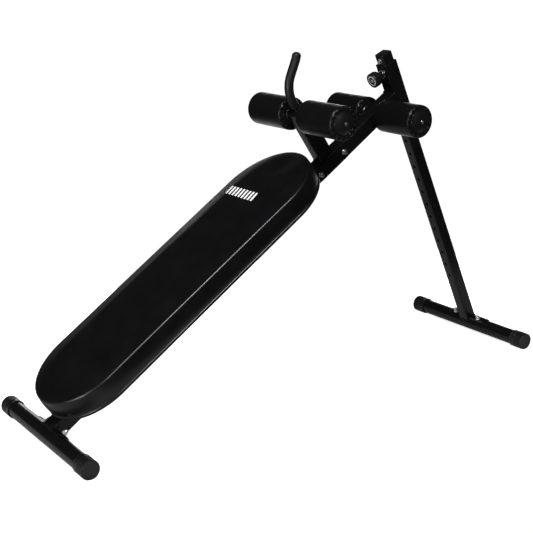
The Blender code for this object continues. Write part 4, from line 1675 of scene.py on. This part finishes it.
        thing.evaluated_get(graph).data.vertices.foreach_get("co", moved)
        bpy.context.scene.frame_set(1)
        bpy.data.objects.remove(thing, do_unlink=True)
        shift = moved.reshape(-1, 3) - flat[first]
        length = np.linalg.norm(shift, axis=1, keepdims=True)
        shift *= np.minimum(1, self.cap / np.maximum(length, 1e-9))
        LOG.info("pad filling: moved up to %.1f mm", 1000 * length.max())
        swell = shift[back.reshape(-1)].reshape(grid.shape)
        for _ in range(self.ironing):
            swell = (np.roll(swell, 1, axis=1) + 2 * swell + np.roll(swell, -1, axis=1)) / 4
        return grid + swell

    def sewn(self, grid: np.ndarray, seams: dict[str, int]) -> np.ndarray:
        """Pull the cover in along its two seams: depth times exp(-(distance / width)^2).

        Args:
            grid: The filled surface.
            seams: The row of each seam.

        Returns:
            The sewn surface.
        """
        rows = np.arange(len(grid))
        along = np.gradient(grid, axis=1)
        normal = np.stack([-along[..., 1], along[..., 0], np.zeros(along.shape[:2])], axis=-1)
        normal /= np.maximum(np.linalg.norm(normal, axis=-1, keepdims=True), 1e-9)
        for name, depth in (("top", 0.0010), ("low", 0.0016)):
            pull = depth * np.exp(-((rows - seams[name]) / self.seam_width) ** 2)
            grid = grid + normal * pull[:, None, None]
        return grid

    def stitches(self, seam: np.ndarray) -> None:
        """Short thread loops beside the top seam, one for each pitch round the outline.

        Each stitch is a six-sided spindle, three millimetres long, laid along the seam. Its
        radius at share s of its half length is R sqrt(1 - s^2).

        Args:
            seam: The row of the cover that they lie on.
        """
        line = resample(seam, self.stitch_pitch)
        ahead = np.roll(line, -1, axis=0) - line
        ahead /= np.linalg.norm(ahead, axis=1, keepdims=True)
        out = np.cross(ahead, np.array([0.0, 0.0, 1.0])) * 0.8 + np.array([0.0, 0.0, 0.6])
        around = spokes(out, np.cross(ahead, out), 6)
        station = np.array([-1.0, -0.6, 0.0, 0.6, 1.0])
        width = np.sqrt(np.clip(1 - station ** 2, 0, 1)) * 0.00045
        station, width = station[None, :, None, None], width[None, :, None, None]
        rings = (line[:, None, None] + ahead[:, None, None] * (station * 0.0016)
                 + around[:, None] * width + out[:, None, None] * 0.0002)
        shape = Shape()
        for stitch in rings:
            shape.add(stitch, self.axes)
        shape.piece("pad_seam_stitches", THREAD, "frame")

    def print_mark(self, panel: np.ndarray) -> None:
        """A plain printed mark: a row of slanted pale bars on the top panel.

        Each point of a bar stands at the mean height of the six nearest points of the panel,
        weighed by 1 / distance^2.

        Args:
            panel: The rows of the cover inside its top seam.
        """
        top = panel.reshape(-1, 3)
        shape = Shape()
        wide = (self.mark_across[1] - self.mark_across[0]) / self.mark_bars
        u, v = np.meshgrid(np.linspace(0, 1, 5), np.linspace(0, 1, 9))
        for number in range(self.mark_bars):
            x = self.mark_along[0] + (self.mark_along[1] - self.mark_along[0]) * v
            y = self.mark_across[0] + wide * (number + self.mark_fill * u + self.mark_slant * v)
            gap = np.hypot(x[..., None] - top[:, 0], y[..., None] - top[:, 1])
            near = np.argsort(gap, axis=-1)[..., :6]
            weight = 1 / (np.take_along_axis(gap, near, -1) + 1e-4) ** 2
            height = (top[near, 2] * weight).sum(-1) / weight.sum(-1)
            upper = np.stack([x, y, height + 0.0004], axis=-1)
            rim = np.concatenate([upper[0], upper[1:, -1], upper[-1, -2::-1], upper[-2:0:-1, 0]])
            shape.add(upper, self.axes, loop=False)
            shape.add(np.stack([rim, rim - [0, 0, 0.0012]]), self.axes)
        shape.piece("pad_printed_bars", INK, "frame")


# --- studio -------------------------------------------------------------------------------
@dataclass
class Studio:
    """A white sweep of floor, soft lights and the camera."""

    camera_at: tuple[float, float, float] = (-1.93915, -2.65536, 1.32925)
    azimuth: float = -35.10746
    elevation: float = 16.153965
    roll: float = -0.401465
    lens: float = 73.89
    floor_low: tuple[float, float] = (-1.7, -0.6)
    floor_high: tuple[float, float] = (1.5, 1.2)
    floor_glow: float = 0.75            # the floor's own light, seen by the camera only
    surround: float = 0.70              # the surround's strength as a light
    seen_surround: float = 1.05         # as seen by the camera
    mirrored_surround: float = 0.015    # as seen in reflections
    mirrored_sweep: float = 1.4         # the bright part of it, in reflections
    mirrored_floor: float = 0.28        # the floor's grey in reflections
    sweep_way: tuple[float, float, float] = (0.55, 0.79, -0.28)
    sweep_rim: float = 0.78             # cosine from sweep_way where the bright part starts
    sweep_core: float = 0.92            # and where it is brightest

    def build(self) -> None:
        """Make the floor, the surround, the lights and the camera."""
        self.floor()
        self.surroundings()
        for name, at, to, size, watts in (
                ("key", (-1.3, -2.0, 3.6), (-0.2, 0.0, 0.5), (1.5, 0.6), 190),
                ("side", (-3.6, -0.4, 1.3), (0.1, 0.0, 0.8), (0.8, 1.6), 40),
                ("fill", (-3.8, -1.4, 0.35), (0.1, 0.0, 0.85), (0.6, 0.9), 60),
                ("back", (2.2, 4.0, 1.15), (0.0, 0.0, 0.8), (3.0, 0.3), 14)):
            self.soft_light(name, at, to, size, watts)
        self.camera()

    def floor(self) -> None:
        """A plain white floor, a hair under the feet."""
        x, y = np.meshgrid(*zip(self.floor_low, self.floor_high))
        corners = np.stack([x, y, np.full_like(x, -0.0005)], axis=-1)
        mesh = Shape().add(corners, loop=False).mesh("studio_floor")
        floor = put_in_scene("studio_floor", mesh)
        paper = bpy.data.materials.new("matt_white_paper")
        paper.use_nodes = True
        tree = paper.node_tree
        shader = tree.nodes["Principled BSDF"]
        shader.inputs["Roughness"].default_value = 1.0
        shader.inputs["Specular IOR Level"].default_value = 0.0
        path = add_node(tree, "ShaderNodeLightPath")
        glow = add_node(tree, "ShaderNodeMath", {"operation": "MULTIPLY", 1: self.floor_glow},
                        {0: path.outputs["Is Camera Ray"]})
        paint = add_node(tree, "ShaderNodeMix", {
            "data_type": "RGBA", 6: linear("f6f6f6"), 7: (*[self.mirrored_floor] * 3, 1.0)},
            {0: path.outputs["Is Glossy Ray"]})
        tree.links.new(paint.outputs[2], shader.inputs["Base Color"])
        shader.inputs["Emission Color"].default_value = linear("ffffff")
        tree.links.new(glow.outputs[0], shader.inputs["Emission Strength"])
        mesh.materials.append(paper)

    def surroundings(self) -> None:
        """A white surround that lights the room fully and shows dimly in reflections.

        In reflections only the part of it round sweep_way is bright.
        """
        world = bpy.data.worlds.new("white_room")
        bpy.context.scene.world = world
        world.use_nodes = True
        tree = world.node_tree
        path = add_node(tree, "ShaderNodeLightPath")
        way = add_node(tree, "ShaderNodeTexCoord").outputs["Generated"]
        facing = add_node(tree, "ShaderNodeVectorMath", {
            "operation": "DOT_PRODUCT", 1: self.sweep_way}, {0: way})
        mirrored = add_node(tree, "ShaderNodeMapRange", {
            "From Min": self.sweep_rim, "From Max": self.sweep_core,
            "To Min": self.mirrored_surround, "To Max": self.mirrored_sweep},
            {"Value": facing.outputs["Value"]})
        strength = add_node(tree, "ShaderNodeMix", {"data_type": "FLOAT", 2: self.surround}, {
            0: path.outputs["Is Glossy Ray"], 3: mirrored.outputs["Result"]})
        seen = add_node(tree, "ShaderNodeMix", {"data_type": "FLOAT", 3: self.seen_surround}, {
            0: path.outputs["Is Camera Ray"], 2: strength.outputs[0]})
        background = tree.nodes["Background"]
        background.inputs["Color"].default_value = linear("ffffff")
        tree.links.new(seen.outputs[0], background.inputs["Strength"])
        bpy.context.scene.view_settings.view_transform = "Standard"

    def soft_light(self, name: str, at: tuple, to: tuple, size: tuple, watts: float) -> None:
        """An area light facing a point.

        Args:
            name: The light's name.
            at: Where it stands.
            to: What it faces.
            size: Its width and height.
            watts: Its power.
        """
        light = bpy.data.lights.new(name, "AREA")
        light.shape = "RECTANGLE"
        light.size, light.size_y = size
        light.energy = watts
        out = np.array(at) - np.array(to)
        out /= np.linalg.norm(out)
        right = np.cross([0, 0, 1], out)
        right /= np.linalg.norm(right)
        self.aim(put_in_scene(name, light), at, (right, np.cross(out, right), out))

    def aim(self, thing: bpy.types.Object, at: tuple, axes: tuple) -> None:
        """Stand a light or camera at a point.

        Args:
            thing: The object.
            at: The point.
            axes: Its right, its up and its back, as unit vectors.
        """
        matrix = np.eye(4)
        matrix[:3, :3] = np.column_stack(axes)
        matrix[:3, 3] = at
        thing.matrix_world = Matrix(matrix.tolist())

    def camera(self) -> None:
        """The camera: its back axis from azimuth and elevation, then a small roll about it."""
        azimuth, elevation, roll = np.radians([self.azimuth, self.elevation, self.roll])
        back = np.array([math.sin(azimuth) * math.cos(elevation),
                         -math.cos(azimuth) * math.cos(elevation), math.sin(elevation)])
        right = np.array([math.cos(azimuth), math.sin(azimuth), 0])
        up = np.cross(back, right)
        data = bpy.data.cameras.new("studio_camera")
        data.sensor_width, data.lens = 36.0, self.lens
        camera = put_in_scene("studio_camera", data)
        self.aim(camera, self.camera_at, (right * math.cos(roll) + up * math.sin(roll),
                                          up * math.cos(roll) - right * math.sin(roll), back))
        bpy.context.scene.camera = camera


def main() -> None:
    """Build the bench, piece by piece, and then the studio round it."""
    logging.basicConfig(level=logging.INFO, format="%(message)s")
    beam, leg = beam_axes(), leg_axes()
    for part in (Foot("low_foot", "frame", beam.at(0, 0, 0, Along.FORWARD), 0.050),
                 Foot("rear_foot", "leg", leg, 0.040), Beam(beam, leg), Post(beam), Handle(beam),
                 RollerPair("knee", beam, (0.0395, 0.2110)),
                 RollerPair("foot", beam, (0.0415, 0.2035)), Leg(leg), Sleeve(leg), Pad(beam),
                 Studio()):
        part.build()


if __name__ == "__main__":
    main()
